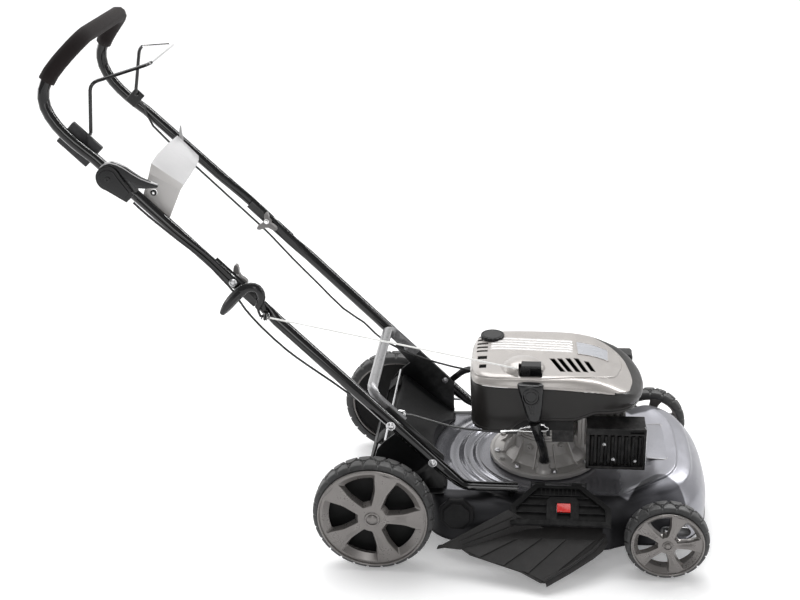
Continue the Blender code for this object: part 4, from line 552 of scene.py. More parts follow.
# ------------------------------------------------------------------ wheels
def wheel(tag, body, x, s, R, w, y_in, ring, lugs):
    def at(a, r, h):
        return Vector((x + r * math.cos(a), s * (y_in + h), R + r * math.sin(a)))
    ri, wt = ring - 0.006, w - 0.006
    # tyre: arched blocks meeting in the middle of the tread
    per = 20
    n = lugs * per
    sec = [(0.0010, ri, 0.0), (0.0, ri + 0.005, 0.0), (0.0004, R - 0.0120, 0.0),
           (0.0016, R - 0.0070, 0.55), (0.0042, R - 0.0028, 0.95)]
    m = 13
    for k in range(m):
        v = k / (m - 1)
        h = 0.0070 + (wt - 0.0140) * v
        sec.append((h, R - 0.0002 - 0.0012 * (2 * v - 1) ** 2, 1.0))
    sec += [(wt - 0.0042, R - 0.0028, 0.95), (wt - 0.0016, R - 0.0070, 0.55),
            (wt - 0.0004, R - 0.0100, 0.0), (wt, ring + 0.0040, 0.0), (wt - 0.0003, ring + 0.0015, 0.0),
            (wt - 0.0022, ring + 0.0004, 0.0), (wt - 0.0030, ri, 0.0)]
    pitch = 2 * math.pi * R / lugs
    verts = []
    for i in range(n):
        a = 2 * math.pi * i / n
        for h, r, k in sec:
            g = 0.0
            hw = 0.0011 * abs(2 * h / wt - 1) ** 2
            if k > 0:
                for side, off in ((0, 0.0), (1, 0.5)):
                    u = (i / per + off) % 1.0
                    v = (1 - h / wt) if side == 0 else h / wt
                    px, py = 2 * u - 1, v / 0.56
                    f = px * px + py * py - 1
                    gx, gy = 2 * px * 2 / pitch, 2 * py / (0.56 * wt)
                    d = abs(f) / max(1e-6, math.hypot(gx, gy))
                    lim = v < 0.62
                    if lim:
                        g = max(g, 1 - sstep(0.0006 + hw, 0.0017 + 1.6 * hw, d))
            verts.append(at(a, r - 0.0040 * g * k, h))
    o = mesh_of("tyre_" + tag + "_tread", verts, grid_faces(n, len(sec), True, True))
    finish_piece(o, body, "rubber", ("tyre_" + tag,), angle=48)
    DONE.add("tyre_" + tag)

    # wheel face: five flared spokes with a crease, tapered pockets and windows between them
    k = ring / 0.1267
    kh = w / 0.055
    half = math.radians(36)
    def ws(r):
        return k * (0.0108 + 0.0022 * sstep(0.03, 0.08, r / k) + 0.0125 * sstep(0.066, 0.120, r / k))
    def top(r):
        return w - kh * (0.0022 + 0.0026 * sstep(0.02, 0.12, r / k))
    def pocket(off, r0, r1):
        def side(r):
            return half - math.asin(min(0.95, (ws(r) + off) / r))
        e = 0.0022 * k
        rr = [r0 + e + (r1 - r0 - 2 * e) * i / 11 for i in range(12)]
        a0, a1 = side(r0 + e), side(r1 - e)
        pts = [(r0, a0 * (0.80 - 1.60 * i / 6)) for i in range(7)]
        pts += [(r, -side(r)) for r in rr]
        pts += [(r1, -a1 * (0.93 - 1.86 * i / 14)) for i in range(15)]
        pts += [(r, side(r)) for r in rr[::-1]]
        return [(r * math.cos(a), r * math.sin(a)) for r, a in pts]
    face = rod("f", (x, s * y_in, R), (0, s, 0),
               [(0, w - 0.0170 * kh), (0.1235 * k, w - 0.0170 * kh), (0.1235 * k, top(0.1235 * k))]
               + [(r * k, top(r * k)) for r in (0.11, 0.095, 0.08, 0.065, 0.05, 0.035, 0.02)] + [(0, top(0.0))], 120)
    big, small = pocket(0.0, 0.0330 * k, 0.1195 * k), pocket(0.0054 * k, 0.0405 * k, 0.1020 * k)
    cutters = []
    for i in range(5):
        c = half + math.radians(72 * i)
        rings = []
        for t, h in ((1.42, w + 0.0030), (0.0, w - 0.0150 * kh), (0.0, w - 0.0190 * kh)):
            row = []
            for (u1, v1), (u0, v0) in zip(big, small):
                # the slope meets the spoke's face on the large outline
                u, v = u0 + (u1 - u0) * t, v0 + (v1 - v0) * t
                row.append((u * math.cos(c) - v * math.sin(c), u * math.sin(c) + v * math.cos(c), h))
            rings.append(row)
        cnt = len(big)
        verts = [Vector((x + u, s * (y_in + h), R + v)) for row in rings for u, v, h in row]
        faces = grid_faces(3, cnt, True)
        faces += [tuple(range(cnt)), tuple(range(2 * cnt, 3 * cnt))]
        cutters.append(mesh_of("c", verts, faces))
    carve(face, *cutters)
    parts = [face]
    for i in range(5):
        c = math.radians(72 * i)
        verts = []
        nr = 14
        for q in range(nr):
            r = (0.0270 + 0.0900 * q / (nr - 1)) * k
            hw = max(0.0010, ws(r) - 0.0016 * k) * (0.25 + 0.75 * sstep(0, 3, q))
            lift = 0.0024 * kh * sstep(0, 5, q)
            for u, h in ((-hw, top(r) - 0.0006), (0.10 * hw, top(r) + lift), (hw, top(r) - 0.0006)):
                verts.append(at(c, r, h) + Vector((-u * math.sin(c), 0, u * math.cos(c))))
            verts.append(at(c, r, top(r) - 0.0030))
        faces = grid_faces(nr, 4, True)
        faces += [(0, 1, 2, 3), tuple(4 * (nr - 1) + j for j in range(4))]
        parts.append(mesh_of("spoke", verts, faces))
    barrel = rod("b", (x, s * y_in, R), (0, s, 0),
                 [(ri - 0.0010, 0.006), (ri - 0.0010, w - 0.0060), (ring - 0.0012, w - 0.0052),
                  (ring, w - 0.0036), (ring - 0.0003, w - 0.0012), (ring - 0.0014, w - 0.0002),
                  (ring - 0.0028, w), (ring - 0.0040, w - 0.0007), (ring - 0.0046, w - 0.0022),
                  (ring - 0.0062, w - 0.0100), (ring - 0.0085, w - 0.0200 * kh), (ri - 0.0050, 0.006),
                  (ri - 0.0010, 0.006)], 96)
    hub = rod("h", (x, s * y_in, R), (0, s, 0),
              [(0.0, w + 0.0034), (0.0045 * k, w + 0.0031), (0.0088 * k, w + 0.0020),
               (0.0112 * k, w + 0.0002), (0.0120 * k, w - 0.0030), (0.0136 * k, w - 0.0030),
               (0.0142 * k, w + 0.0004), (0.0168 * k, w + 0.0004), (0.0182 * k, w - 0.0014),
               (0.0205 * k, w - 0.0060),
               (0.0205 * k, 0.010), (0.0100, 0.010)], 48)
    o = joined("rim_" + tag + "_wheel", parts + [barrel, hub])
    finish_piece(o, body, "rim", ("rim_" + tag,), angle=24)
    DONE.add("rim_" + tag)
    if x == 0.0:                        # closed inner side of the rear wheels
        o = rod("rim_" + tag + "_cover", (x, s * y_in, R), (0, s, 0),
                [(0.008, 0.0100), (0.060, 0.0100), (0.075, 0.0120), (ri - 0.006, 0.0120),
                 (ri - 0.0052, 0.0135), (0.074, 0.0135), (0.058, 0.0118), (0.008, 0.0118)], 64)
        finish_piece(o, body, "dark", angle=40)


for _a in (("rear_right", "wheel_rr", 0.0, -1, 0.140, 0.055, 0.248, 0.1267, 26),
           ("rear_left", "wheel_rl", 0.0, 1, 0.140, 0.055, 0.248, 0.1267, 26),
           ("front_right", "wheel_fr", 0.665, -1, 0.095, 0.048, 0.252, 0.0820, 18),
           ("front_left", "wheel_fl", 0.665, 1, 0.095, 0.048, 0.252, 0.0820, 18)):
    wheel(*_a)


# ------------------------------------------------------------------ deck
CRANK_X = 0.391
DECK_HALF = [(0.776, 0.0), (0.773, 0.075), (0.760, 0.145), (0.732, 0.196), (0.692, 0.226),
             (0.640, 0.236), (0.585, 0.239), (0.556, 0.250), (0.528, 0.2620), (0.460, 0.2645),
             (0.390, 0.265), (0.310, 0.2645), (0.240, 0.260), (0.180, 0.246), (0.140, 0.222),
             (0.115, 0.180), (0.104, 0.120), (0.101, 0.060), (0.100, 0.0)]


def deck_paint():
    """Gloss over the rear, satin hood with its base lightened as painted light, sides darkened as painted shade,
    following the pressing's lines.
    """
    m = surface("deck_paint", (0.200, 0.200, 0.218), 0.16, 0.7, 0.05, flake=0.3, coat=0.40, coat_rough=0.06,
                dust_and_top_light=0.02, wear=0.25, wear_rgb=(0.25, 0.25, 0.26), peel=0.04)
    nt = m.node_tree
    b = nt.nodes["Principled BSDF"]
    tc = nt.nodes.new("ShaderNodeTexCoord")
    sx = nt.nodes.new("ShaderNodeSeparateXYZ")
    nt.links.new(tc.outputs["Object"], sx.inputs[0])
    u = _math(nt, "MULTIPLY", _math(nt, "ADD", sx.outputs["X"], -0.059), 1 / 0.70, clamp=True)
    line = _ramp(nt, u, ((0.10, 0.60), (0.657, 0.617), (0.686, 0.683), (0.731, 0.533), (0.779, 0.50),
                         (0.819, 0.533), (0.856, 0.60), (0.883, 0.707), (0.914, 0.85), (0.95, 1.0)))
    wide = _math(nt, "ABSOLUTE", _math(nt, "ADD", sx.outputs["Y"], -0.0345))
    past = _math(nt, "ADD", wide, _math(nt, "MULTIPLY", line, -0.30))
    side = _math(nt, "ADD", _math(nt, "MULTIPLY", past, 140.0), 0.5, clamp=True)
    hood = _ramp(nt, u, ((0.650, 0.0), (0.680, 1.0)))
    col = b.inputs["Base Color"].links[0].from_socket
    rough = b.inputs["Roughness"].links[0].from_socket
    def tint(c):
        g = nt.nodes.new("ShaderNodeMix")
        g.data_type = "RGBA"
        g.blend_type = "MULTIPLY"
        g.inputs[0].default_value = 1.0
        nt.links.new(col, g.inputs[6])
        g.inputs[7].default_value = (*c, 1)
        return g.outputs[2]
    # painted light: the hood's base colour is lifted 1.3 times
    a = _mix(nt, hood, col, tint((1.30, 1.30, 1.30)))
    # painted shade: past the pressing's line the sides darken to 0.06 of the paint, easing to 0.30 towards the front
    front = _ramp(nt, u, ((0.70, 0.0), (0.80, 1.0)))
    painted_side_shade = _mix(nt, front, tint((0.060, 0.060, 0.063)), tint((0.30, 0.30, 0.31)))
    nt.links.new(_mix(nt, side, a, painted_side_shade), b.inputs["Base Color"])
    r = _math(nt, "ADD", rough, _math(nt, "MULTIPLY", hood, 0.18))
    r2 = _math(nt, "MULTIPLY", _math(nt, "ADD", r, -0.46), _math(nt, "SUBTRACT", 1.0, side))
    nt.links.new(_math(nt, "ADD", r2, 0.46, clamp=True), b.inputs["Roughness"])
    rest = _math(nt, "MULTIPLY", _math(nt, "SUBTRACT", 1.0, hood), _math(nt, "SUBTRACT", 1.0, side))
    nt.links.new(_math(nt, "MULTIPLY", rest, 0.40), b.inputs["Coat Weight"])
    return m


MAT["deck"] = deck_paint()


def deck_z(x, d):
    w = 0.020 + 0.055 * sstep(0.130, 0.200, x)
    u = min(1.0, d / w)
    f = math.sqrt(max(0.0, 1 - (1 - u) ** 2))
    top = 0.151 + 0.039 * sstep(0.550, 0.660, x)
    return 0.095 + (top - 0.095) * f


def deck_detail(x, y, d):
    """Pressed ridges: a volute round the engine, steps across the hood."""
    h = 0.0
    dx, dy = x - CRANK_X, y
    r, a = math.hypot(dx, dy), math.degrees(math.atan2(dy, dx)) % 360
    if 95 < a < 265:
        t = (a - 95) / 170
        fade = sstep(0, 0.12, t) * (1 - sstep(0.86, 1.0, t))
        for rc, hh, ww in ((0.160 + 0.014 * t, 0.0050, 0.007), (0.184 + 0.024 * t, 0.0075, 0.009),
                           (0.214 + 0.030 * t, 0.0065, 0.010)):
            if d > 0.022:
                h += hh * fade * math.exp(-((r - rc) / ww) ** 2) * sstep(0.022, 0.040, d)
    if x > 0.56:
        k = sstep(0.565, 0.600, x)
        h += k * (0.0012 * (1 - sstep(0.012, 0.015, d)) + 0.0045 * sstep(0.035, 0.040, d)
                  + 0.0042 * sstep(0.070, 0.075, d) - 0.0040 * sstep(0.076, 0.110, d)) - 0.0045 * k
    return h


def deck():
    half = DECK_HALF
    n = 420
    outline = closed_line(half + [(x, -y) for x, y in half[-2:0:-1]], n)
    c = Vector((CRANK_X, 0))
    verts = []
    rows = 0
    for z in (0.052, 0.070, 0.095):
        for p in outline:
            verts.append((p[0], p[1], z))
        rows += 1
    ds = [0.0012, 0.003, 0.006, 0.009, 0.0115, 0.0135, 0.0155, 0.021, 0.028, 0.034, 0.0355, 0.0375, 0.0395,
          0.041, 0.048, 0.058, 0.067, 0.0695, 0.0710, 0.0725, 0.0740, 0.0755, 0.0770]
    last = None
    for d in ds:
        last = []
        for p in outline:
            v = c - Vector(p)
            q = Vector(p) + v.normalized() * d
            last.append(q)
            verts.append((q.x, q.y, deck_z(q.x, d) + deck_detail(q.x, q.y, d)))
        rows += 1
    m = 44
    for i in range(1, m + 1):
        t = (i / m) ** 1.25
        for p, q in zip(outline, last):
            r0 = (q - c).length
            r = r0 + (0.138 - r0) * t
            e = c + (q - c).normalized() * r
            d = 0.077 + (r0 - r)
            top = 0.151 + 0.039 * sstep(0.550, 0.660, e.x)
            verts.append((e.x, e.y, top + deck_detail(e.x, e.y, d)))
        rows += 1
    for p, q in zip(outline, last):
        e = c + (q - c).normalized() * 0.052
        verts.append((e.x, e.y, 0.151))
    rows += 1
    o = mesh_of("deck_shell", verts, grid_faces(rows, n, True))
    me = o.data
    if sum(p.normal.z * p.area for p in me.polygons) < 0:
        me.flip_normals()
    s = o.modifiers.new("wall", "SOLIDIFY")
    s.thickness = 0.0025
    s.offset = -1.0
    baked(o)
    rear = block("c", (0.060, -0.140, 0.088), (0.150, 0.140, 0.200))
    carve(rear, rod("d", (CRANK_X, 0, 0.05), (0, 0, 1), [(0, 0), (0.2761, 0), (0.2761, 0.35), (0, 0.35)], 96))
    carve(o, rear, block("c", (0.334, -0.300, 0.068), (0.522, -0.1980, 0.108)),
          block("c", (0.3340, -0.300, 0.1045), (0.5220, -0.2060, 0.152)),
          rod("c", (0.6780, 0.2245, 0.1300), (1, 0, 0), [(0, 0), (0.0068, 0), (0.0068, 0.030), (0, 0.030)], 20))
    finish_piece(o, "mower", "deck", ("deck",), angle=40)
    DONE.add("deck")
    # rolled rim along the skirt, in the darkened side copy of the deck paint (painted shade)
    pts = [Vector((p[0], p[1], 0.0545)) for p in outline[::2]]
    pts = [c.to_3d() + Vector((0, 0, 0.0545)) + (p - c.to_3d() - Vector((0, 0, 0.0545))) * 0.9985 for p in pts]
    o = pipe("deck_hem", pts, 0.0024, 3, cyclic=True)
    finish_piece(o, "mower", "paint_side", angle=60)
    # bare raised plate on the hood, in the lightened hood copy of the deck paint (painted light)
    out = []
    for i in range(41):
        t = 2 * i / 40 - 1
        out.append((0.6900 - 0.0100 * t * t - 0.0100 * abs(t) ** 14, 0.0850 * t))
    out += [(0.6300, 0.0800), (0.6300, -0.0800)]
    o = flat("hood_plate", out, 0.0016, Matrix.Translation((0, 0, HOOD_Z)), bevel=0.0007)
    finish_piece(o, "mower", "paint_hood", angle=40)
    loop = [(x, y, HOOD_Z + 0.0006) for x, y in out]
    o = pipe("hood_plate_border", loop, 0.0010, 2, cyclic=True)
    finish_piece(o, "mower", "console_ear", angle=60)


HOOD_Z = 0.151 + 0.039 + deck_detail(0.660, 0.0, 0.116) + 0.0004
deck()

# ------------------------------------------------------------------ engine covers
SHROUD = [(0.2125, 0.0), (0.2125, -0.060), (0.2155, -0.100), (0.2270, -0.130), (0.2550, -0.1500),
          (0.3000, -0.1575), (0.3700, -0.1600), (0.4400, -0.1600), (0.5000, -0.1580),
          (0.5500, -0.1480), (0.5880, -0.1220), (0.6080, -0.0820), (0.6160, -0.0400),
          (0.6180, 0.0), (0.6120, 0.0450), (0.5900, 0.0820), (0.5500, 0.1050), (0.4800, 0.1150),
          (0.3900, 0.1165), (0.3000, 0.1150), (0.2480, 0.1060), (0.2220, 0.0820), (0.2135, 0.0450)]
CROWN = ((0.21, 0.424), (0.24, 0.4305), (0.30, 0.4325), (0.45, 0.4315), (0.50, 0.4240),
         (0.54, 0.4090), (0.585, 0.3870), (0.62, 0.3650))
SEAM = ((0.21, 0.4050), (0.26, 0.4100), (0.40, 0.4095), (0.50, 0.4030), (0.565, 0.3900),
        (0.60, 0.3680), (0.62, 0.3520))
SKIRT = ((0.21, 0.2880), (0.30, 0.2900), (0.335, 0.3240), (0.455, 0.3260), (0.500, 0.3450),
         (0.62, 0.3380))
SEAM_K = ((-180, 1.0), (-46, 1.0), (-39.5, 0.992), (-33, 0.962), (-23.5, 0.903), (-9.4, 0.875),
          (3, 0.835), (12, 0.815), (22, 0.804), (34, 0.803), (46, 0.83), (58, 0.89), (70, 0.97),
          (77, 1.0), (180, 1.0))
LINE_K = ((-180, 0.955), (-146, 0.944), (-137, 0.93), (-106, 0.917), (-71, 0.86), (-40, 0.72),
          (-8, 0.72), (3, 0.745), (20, 0.755), (60, 0.84), (100, 0.90), (180, 0.955))
COVER_N = 220
COVER_C = Vector((0.415, -0.022))


def soft(table, x, w=0.014):
    return sum(ramp(table, x + w * (i - 4) / 4) for i in range(9)) / 9


BASE = [Vector(p) - COVER_C for p in closed_line(SHROUD, COVER_N)]
ANG = [math.degrees(math.atan2(d.y, d.x)) for d in BASE]


def cover_xy(i, k):
    d = BASE[i]
    back = min(1.0, max(0.0, -d.x / 0.19)) ** 2
    return COVER_C + Vector((d.x * (k + (1 - k) * 0.62 * back), d.y * k))


def cover_z(p, k):
    u = min(1.0, max(0.0, (1 - k) / 0.30))
    f = 1 - (1 - u) ** 5.4
    lo = soft(SEAM, p.x) + 0.0044
    return lo + (soft(CROWN, p.x) - lo) * f


def solid(o, t, offset=-1.0):
    s = o.modifiers.new("wall", "SOLIDIFY")
    s.thickness = t
    s.offset = offset
    return baked(o)


def face_up(o):
    if sum(p.normal.z * p.area for p in o.data.polygons) < 0:
        o.data.flip_normals()
    return o


def top_cover():
    n = COVER_N
    ks = [soft(SEAM_K, a, 4.0) for a in ANG]
    kg = [min(soft(LINE_K, a, 6.0), s - 0.035) for a, s in zip(ANG, ks)]
    rows = []

    def row(kk, dz):
        r = []
        for i in range(n):
            k = kk(i)
            p = cover_xy(i, k)
            r.append((p.x, p.y, cover_z(p, k) + dz))
        rows.append(r)
    row(lambda i: ks[i], -0.0042)
    row(lambda i: ks[i], -0.0012)
    row(lambda i: ks[i] - 0.003, -0.0002)
    for t in (0.06, 0.14, 0.24, 0.36, 0.50, 0.64, 0.78, 0.90):
        row(lambda i, t=t: ks[i] - 0.003 + (kg[i] + 0.012 - ks[i] + 0.003) * t, 0.0)
    for dk, dz in ((0.011, 0.0), (0.007, -0.0002), (0.005, -0.0012), (0.0015, -0.0016),
                   (-0.0015, -0.0012), (-0.0045, 0.0004), (-0.0085, 0.0011), (-0.014, 0.0012)):
        row(lambda i, dk=dk: kg[i] + dk, dz)
    m = 26
    for j in range(1, m):
        t = j / m
        row(lambda i, t=t: (kg[i] - 0.014) * (1 - t), 0.0012 * (1 - sstep(0.0, 0.5, t)))
    verts = [v for r in rows for v in r]
    faces = grid_faces(len(rows), n, True)
    p = COVER_C
    verts.append((p.x, p.y, soft(CROWN, p.x)))
    last = (len(rows) - 1) * n
    faces += [(last + i, last + (i + 1) % n, len(verts) - 1) for i in range(n)]
    o = face_up(mesh_of("cover", verts, faces))
    tree = BVHTree.FromPolygons([v.co.copy() for v in o.data.vertices],
                                [tuple(f.vertices) for f in o.data.polygons])
    solid(o, 0.0022)

    def z_at(x, y):
        h = tree.ray_cast(Vector((x, y, 0.6)), Vector((0, 0, -1)))
        return h[0].z if h[0] else 0.40

    # dome round the rope outlet
    verts, faces = [], []
    R, S = 20, 56
    for i in range(R + 1):
        e = math.pi / 2 * i / R
        for j in range(S):
            a = 2 * math.pi * j / S
            x = 0.3360 + 0.0520 * math.cos(e) ** 0.9 * math.cos(a)
            y = -0.0980 + 0.0500 * math.cos(e) ** 0.9 * math.sin(a)
            verts.append((x, y, 0.4245 + 0.0300 * math.sin(e)))
    dome = mesh_of("dome", verts, grid_faces(R + 1, S, True))
    face_up(dome)
    solid(dome, 0.0022)
    carve(dome, block("c", (0.3255, -0.1600, 0.4100), (0.4200, -0.1175, 0.4700)))
    ring = rod("neck", (0.2600, 0.0640, 0), (0, 0, 1),
               [(0.0180, 0.4200), (0.0180, 0.4305), (0.0235, 0.4305), (0.0246, 0.4300), (0.0252, 0.4290),
                (0.0262, 0.4275), (0.0290, 0.4240), (0.0180, 0.4200)], 48)

    # slanting slots
    for i, (xa, ya, xb, yb) in enumerate(((0.3960, -0.0465, 0.4212, -0.1150),
                                          (0.4135, -0.0455, 0.4378, -0.1145),
                                          (0.4325, -0.0430, 0.4560, -0.1110),
                                          (0.4520, -0.0400, 0.4735, -0.1060),
                                          (0.4755, -0.0480, 0.4905, -0.0960))):
        w = 0.0118
        loop = [(xa, ya), (xa + w, ya), (xb + w, yb), (xb, yb)]
        carve(o, flat("c", loop, 0.08, Matrix.Translation((0, 0, 0.43))))
    for y, w, x0 in ((0.0855, 0.0085, 0.2285), (0.0680, 0.0085, 0.2262), (0.0485, 0.0090, 0.2252),
                     (0.0285, 0.0090, 0.2250), (0.0090, 0.0090, 0.2250), (-0.0110, 0.0090, 0.2255),
                     (-0.0460, 0.0170, 0.2290), (-0.0920, 0.0190, 0.2345)):
        carve(o, block("c", (x0, y - w / 2, 0.4100), (0.2510, y + w / 2, 0.4500)))
    carve(o, block("c", (0.3270, -0.1430, 0.4100), (0.3800, -0.1190, 0.4700)))
    o = joined("top_cover_shell", [o, dome, ring])
    finish_piece(o, "mower", "cover", ("top_cover",), angle=38)
    DONE.add("top_cover")

    # raised strips along the crown, in a lighter copy of the cover silver as a painted highlight
    strips = []
    for c0 in (0.0560, 0.0425, 0.0290, 0.0155, 0.0020):
        verts = []
        L, W = 44, 9
        for i in range(L):
            t = i / (L - 1)
            x = 0.2575 + (0.4520 - 0.2575) * t
            e = min(1.0, min(t, 1 - t) / 0.02)
            for j in range(W):
                s = 2 * j / (W - 1) - 1
                y = c0 - 0.0090 * t + s * 0.0051
                lift = 0.0019 * math.sqrt(max(0.0, 1 - abs(s) ** 2.6)) * math.sqrt(e)
                verts.append((x, y, z_at(x, y) + lift - 0.0002))
        s = face_up(mesh_of("s", verts, grid_faces(L, W)))
        strips.append(solid(s, 0.0012))
    o = joined("top_cover_strips", strips)
    finish_piece(o, "mower", "strip", angle=40)

    # plain plate let into the crown
    def patch(name, c, lift, t, L=24, W=14, edge=0.0):
        verts = []
        for i in range(L):
            for j in range(W):
                a, b = i / (L - 1), j / (W - 1)
                p = Vector(c[0]).lerp(Vector(c[1]), a).lerp(Vector(c[3]).lerp(Vector(c[2]), a), b)
                verts.append((p.x, p.y, z_at(p.x, p.y) + lift))
        return solid(face_up(mesh_of(name, verts, grid_faces(L, W))), t)
    quad = [(0.4600, 0.0490), (0.5360, 0.0410), (0.5340, -0.0160), (0.4630, -0.0160)]
    o = patch("top_cover_plate", quad, 0.0007, 0.0012)
    finish_piece(o, "mower", "plate_grey", bevel=0.0003, seg=1, angle=40)
    rim = []
    for a, b in zip(quad, quad[1:] + quad[:1]):
        pts = []
        for i in range(16):
            p = Vector(a).lerp(Vector(b), i / 15)
            pts.append((p.x, p.y, z_at(p.x, p.y) + 0.0006))
        rim.append(pipe("r", pts, 0.0010, 2))
    o = joined("top_cover_plate_rim", rim)
    finish_piece(o, "mower", "cover", angle=60)

    # dark sheets below the slots: painted shade for the inside seen through them
    o = joined("top_cover_slot_shade", [block("a", (0.3850, -0.1180, 0.3960), (0.5080, 0.0600, 0.3975)),
                                    block("b", (0.2240, -0.1100, 0.4060), (0.2560, 0.0950, 0.4075))])
    finish_piece(o, "mower", "dark", bevel=0.0003, seg=1)

    # rope outlet
    o = block("rope_outlet", (0.3265, -0.1435, 0.4135), (0.3805, -0.1185, 0.4588))
    for v in o.data.vertices:
        if v.co.z > 0.45 and v.co.x < 0.33:
            v.co.x += 0.0060
        if v.co.z > 0.45 and v.co.x > 0.37:
            v.co.x -= 0.0040
    carve(o, rod("c", (0.3200, -0.1343, 0.4473), (1, 0, 0), [(0, 0), (0.0052, 0), (0.0052, 0.020), (0, 0.020)], 20))
    carve(o, block("c", (0.3520, -0.1460, 0.4200), (0.3760, -0.1405, 0.4520)))
    finish_piece(o, "mower", "gloss_plastic", bevel=0.0022, seg=3, angle=30)


def shroud():
    n = COVER_N
    rows = []
    prof = [(0.955, 0.0, -0.0012), (0.9625, 0.0, 0.0), (0.9700, 0.0, 0.0012), (0.9715, 0.0, 0.0040),
            (0.9700, 0.0, 0.0068), (0.9610, 0.0, 0.0078), (0.9600, 0.0, 0.0092), (0.9640, 0.10, 0.008),
            (0.9715, 0.22, 0.006), (0.9800, 0.38, 0.003), (0.9880, 0.55, 0.0), (0.9950, 0.72, 0.0),
            (0.9990, 0.86, 0.0), (1.0, 0.95, 0.0), (1.0, 1.0, 0.0), (0.9970, 1.0, 0.0006)]
    for k, f, dz in prof:
        r = []
        for i in range(n):
            p = cover_xy(i, k)
            a, b = soft(SKIRT, p.x, 0.012), soft(SEAM, p.x) - 0.0012
            r.append((p.x, p.y, a + (b - a) * f + dz))
        rows.append(r)
    o = mesh_of("shroud", [v for r in rows for v in r], grid_faces(len(rows), n, True))
    c = Vector((COVER_C.x, COVER_C.y, 0.37))
    if sum(p.normal.dot(p.center - c) * p.area for p in o.data.polygons) < 0:
        o.data.flip_normals()
    solid(o, 0.0022)
    # nose: the shoulder in front of the silver cover
    ks = [soft(SEAM_K, a, 4.0) for a in ANG]
    idx = [i for i in range(n) if ks[i] < 0.9985]
    order = sorted(idx, key=lambda i: ANG[i])
    verts, cols = [], 14
    for i in order:
        for j in range(cols):
            t = j / (cols - 1)
            k = 1.0 + (ks[i] + 0.0035 - 1.0) * t
            p = cover_xy(i, k)
            z = cover_z(p, k) - 0.0044 * (1 - sstep(0.0, 0.10, t)) - 0.0006
            verts.append((p.x, p.y, z))
    nose = face_up(mesh_of("nose", verts, grid_faces(len(order), cols)))
    solid(nose, 0.0018)
    o = joined("blower_housing_shell", [o, nose])
    finish_piece(o, "mower", "shroud", ("blower_housing",), angle=38)
    DONE.add("blower_housing")


def fuel_cap():
    seg = 96
    verts = []
    rows = [(0.0170, 0.4210), (0.0170, 0.4310), (0.0282, 0.4310), (0.0286, 0.4316), (0.0286, 0.4382),
            (0.0280, 0.4392), (0.0268, 0.4398), (0.0250, 0.4398), (0.0244, 0.4388), (0.0234, 0.4388),
            (0.0228, 0.4399), (0.0080, 0.4401)]
    for r, z in rows:
        for i in range(seg):
            a = 2 * math.pi * i / seg
            d = 0.0010 if (r > 0.0275 and (i // 3) % 2) else 0.0
            verts.append((0.26 + (r - d) * math.cos(a), 0.064 + (r - d) * math.sin(a), z))
    faces = grid_faces(len(rows), seg, True)
    k = len(verts)
    verts += [(0.26, 0.064, 0.4210), (0.26, 0.064, 0.4401)]
    faces += [(i, (i + 1) % seg, k) for i in range(seg)]
    last = (len(rows) - 1) * seg
    faces += [(last + i, last + (i + 1) % seg, k + 1) for i in range(seg)]
    o = mesh_of("fuel_cap_grip", verts, faces)
    finish_piece(o, "fuel", "plastic", ("fuel_cap",), angle=30)
    DONE.add("fuel_cap")


def hexhead(p, axis, r=0.0055, h=0.0045, washer=True):
    rows = [(r * 1.5, 0.0), (r * 1.5, 0.0012)] if washer else []
    a = rod("w", p, axis, rows + [(0, 0.0012)], 24) if washer else None
    b = rod("h", p, axis, [(r, 0.0008), (r, h - 0.0006), (r * 0.86, h), (0, h)], 6)
    return [x for x in (a, b) if x]


def domebolt(p, axis, r=0.0075, h=0.0045):
    prof = [(r * 1.25, 0.0), (r * 1.28, 0.0010)]
    prof += [(r * math.cos(e), 0.0010 + h * math.sin(e)) for e in (0.0, 0.35, 0.7, 1.05, 1.35)]
    return rod("d", p, axis, prof + [(0, 0.0010 + h)], 24)


